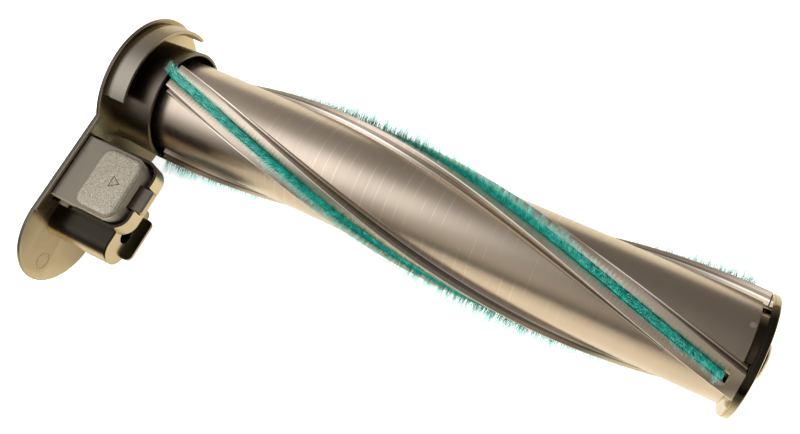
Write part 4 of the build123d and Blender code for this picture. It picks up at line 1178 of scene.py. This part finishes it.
# Table top, and its glow as the glossy surfaces mirror it
TABLE_SIZE = 6.0
TABLE_GRID = 8
TABLE_ROUGHNESS = 0.9
TABLE_WHITE = (0.78, 0.78, 0.77)
TABLE_MIRRORED = (0.25, 0.23, 0.19)
TABLE_SHADED = (0.04, 0.045, 0.025)
WHITE = (1.0, 1.0, 1.0)
GLOW_TINT = (1.0, 0.95, 0.77)
GLOW_SEEN = 0.72
GLOW_FAR = 0.13
GLOW_NEAR = 0.74
GLOW_UNDER = 0.5
GLOW_BEHIND = 0.38
GLOW_BY_CAP = 0.04
NEAR_SPAN = (240 * MM, 30 * MM)
UNDER_SPAN = (48 * MM, 22 * MM)
UNDER_START = (20 * MM, 50 * MM)
BEHIND_SPAN = (50 * MM, 200 * MM)
CORNER_REACH = 32 * MM
CORNER_POWER = 1.6
CORNER_SAMPLES = 4
CAP_SHADE_PLACE = (23 * MM, -30 * MM, FLOOR_HEIGHT)
CAP_SHADE_SPAN = (14 * MM, 28 * MM)


def make_floor():
    """White table top; mirrored, it glows round and under the roller, its glow dimmed as painted shade where
    the part crowds it and as a painted shadow by the cap.
    """
    start_piece()
    bpy.ops.mesh.primitive_grid_add(
        x_subdivisions=TABLE_GRID, y_subdivisions=TABLE_GRID, size=TABLE_SIZE, location=(0, 0, FLOOR_HEIGHT)
    )
    floor = bpy.context.object
    floor.name = "table_top"
    bpy.ops.object.transform_apply(location=True)
    material, tree, shader = new_material("white_table")
    path = tree.nodes.new("ShaderNodeLightPath").outputs
    where = tree.nodes.new("ShaderNodeTexCoord").outputs["Object"]
    along, across, _ = split_xyz(tree, where)
    off_axis = math_node(tree, "ABSOLUTE", across)
    # Painted shade: the mirrored glow dims where the part stands close over the table
    open_sky = tree.nodes.new("ShaderNodeAmbientOcclusion")
    open_sky.samples = CORNER_SAMPLES
    open_sky.inputs["Distance"].default_value = CORNER_REACH
    corners = math_node(tree, "POWER", open_sky.outputs["AO"], CORNER_POWER)
    near = times(tree, smooth_step(tree, off_axis, *NEAR_SPAN), corners)
    under = times(tree, smooth_step(tree, off_axis, *UNDER_SPAN), smooth_step(tree, along, *UNDER_START))
    behind = smooth_step(tree, across, *BEHIND_SPAN)
    glow = GLOW_FAR
    for mask, strength in ((near, GLOW_NEAR), (under, GLOW_UNDER), (behind, GLOW_BEHIND)):
        glow = math_node(tree, "MULTIPLY_ADD", mask, strength, glow)
    # Painted shadow: the mirrored table is dark by the cap
    clear = smooth_step(tree, vector_value(tree, "DISTANCE", where, CAP_SHADE_PLACE), *CAP_SHADE_SPAN)
    glow = times(tree, glow, mix_values(tree, clear, GLOW_BY_CAP, 1.0))
    mirrored = math_node(tree, "ADD", path["Is Glossy Ray"], path["Is Transmission Ray"], clamp=True)
    base = mix_colours(tree, mirrored, TABLE_WHITE, TABLE_MIRRORED)
    shaded = times(tree, mirrored, math_node(tree, "SUBTRACT", 1.0, clear))
    paint(tree, shader, mix_colours(tree, shaded, base, TABLE_SHADED), TABLE_ROUGHNESS)
    seen = path["Is Camera Ray"]
    shine = math_node(tree, "MULTIPLY_ADD", seen, GLOW_SEEN, times(tree, mirrored, glow))
    feed(tree, shader.inputs["Emission Strength"], shine)
    feed(tree, shader.inputs["Emission Color"], mix_colours(tree, seen, GLOW_TINT, WHITE))
    floor.data.materials.append(material)


def make_world():
    """White to the camera; mirrored, a dim room with a glow in front, a soft window and a side light."""
    world = bpy.data.worlds.new("studio")
    bpy.context.scene.world = world
    world.use_nodes = True
    tree = world.node_tree
    direction = tree.nodes.new("ShaderNodeTexCoord").outputs["Generated"]
    sideways, back, up = split_xyz(tree, direction)
    side = math_node(tree, "MULTIPLY_ADD", sideways, 0.5, 0.5)
    ahead = smooth_step(tree, back, *ROOM_AHEAD_SPAN)
    low = smooth_step(tree, up, *ROOM_LOW_SPAN)
    room = tree.nodes.new("ShaderNodeVectorMath")
    room.operation = "SCALE"
    tree.links.new(colour_ramp(tree, side, ROOM_STOPS), room.inputs[0])
    feed(tree, room.inputs["Scale"], mix_values(tree, times(tree, ahead, low), 1.0, ROOM_DIMMED))
    raised = times(tree, ahead, band(tree, up, *FRONT_GLOW_BAND))
    raised = times(tree, raised, smooth_step(tree, sideways, *FRONT_GLOW_SIDE))
    in_front = mix_colours(tree, raised, (0, 0, 0), FRONT_GLOW)
    light = mix_colours(tree, 1.0, room.outputs["Vector"], in_front, "ADD")
    for lit_from, stops in ((WINDOW_DIRECTION, WINDOW_STOPS), (SIDE_LIGHT_DIRECTION, SIDE_LIGHT_STOPS)):
        towards = vector_value(tree, "DOT_PRODUCT", direction, lit_from)
        light = mix_colours(tree, 1.0, light, colour_ramp(tree, towards, stops), "ADD")
    seen = tree.nodes.new("ShaderNodeLightPath").outputs["Is Camera Ray"]
    feed(tree, tree.nodes["Background"].inputs["Color"], mix_colours(tree, seen, light, WHITE))


def add_softbox(name, place_mm, power):
    """Square soft lamp aimed at the part, and not itself mirrored or seen."""
    lamp = bpy.data.lights.new(name, "AREA")
    lamp.size = LAMP_SIZE
    lamp.energy = power
    holder = bpy.data.objects.new(name, lamp)
    bpy.context.scene.collection.objects.link(holder)
    holder.location = Vector(place_mm) * MM
    holder.rotation_euler = (LAMP_AIM - holder.location).to_track_quat("-Z", "Y").to_euler()
    holder.visible_glossy = holder.visible_camera = False


def make_camera():
    """Camera at the photograph's viewpoint, rolled as it was held."""
    camera = bpy.data.objects.new("camera", bpy.data.cameras.new("camera"))
    bpy.context.scene.collection.objects.link(camera)
    ahead = (CAMERA_AIM - CAMERA_PLACE).normalized()
    right = ahead.cross(CAMERA_UP).normalized()
    up = right.cross(ahead)
    turned_right = right * cos(CAMERA_ROLL) + up * sin(CAMERA_ROLL)
    turned_up = up * cos(CAMERA_ROLL) - right * sin(CAMERA_ROLL)
    turn = Matrix((turned_right, turned_up, -ahead)).transposed().to_4x4()
    camera.matrix_world = Matrix.Translation(CAMERA_PLACE) @ turn
    camera.data.sensor_width = CAMERA_SENSOR
    camera.data.lens = CAMERA_LENS
    camera.data.clip_start = CAMERA_NEAREST
    bpy.context.scene.camera = camera


make_floor()
make_world()
for lamp_name, (lamp_place, lamp_power) in LAMPS.items():
    add_softbox(lamp_name, lamp_place, lamp_power)
make_camera()
bpy.context.scene.view_settings.view_transform = "Standard"
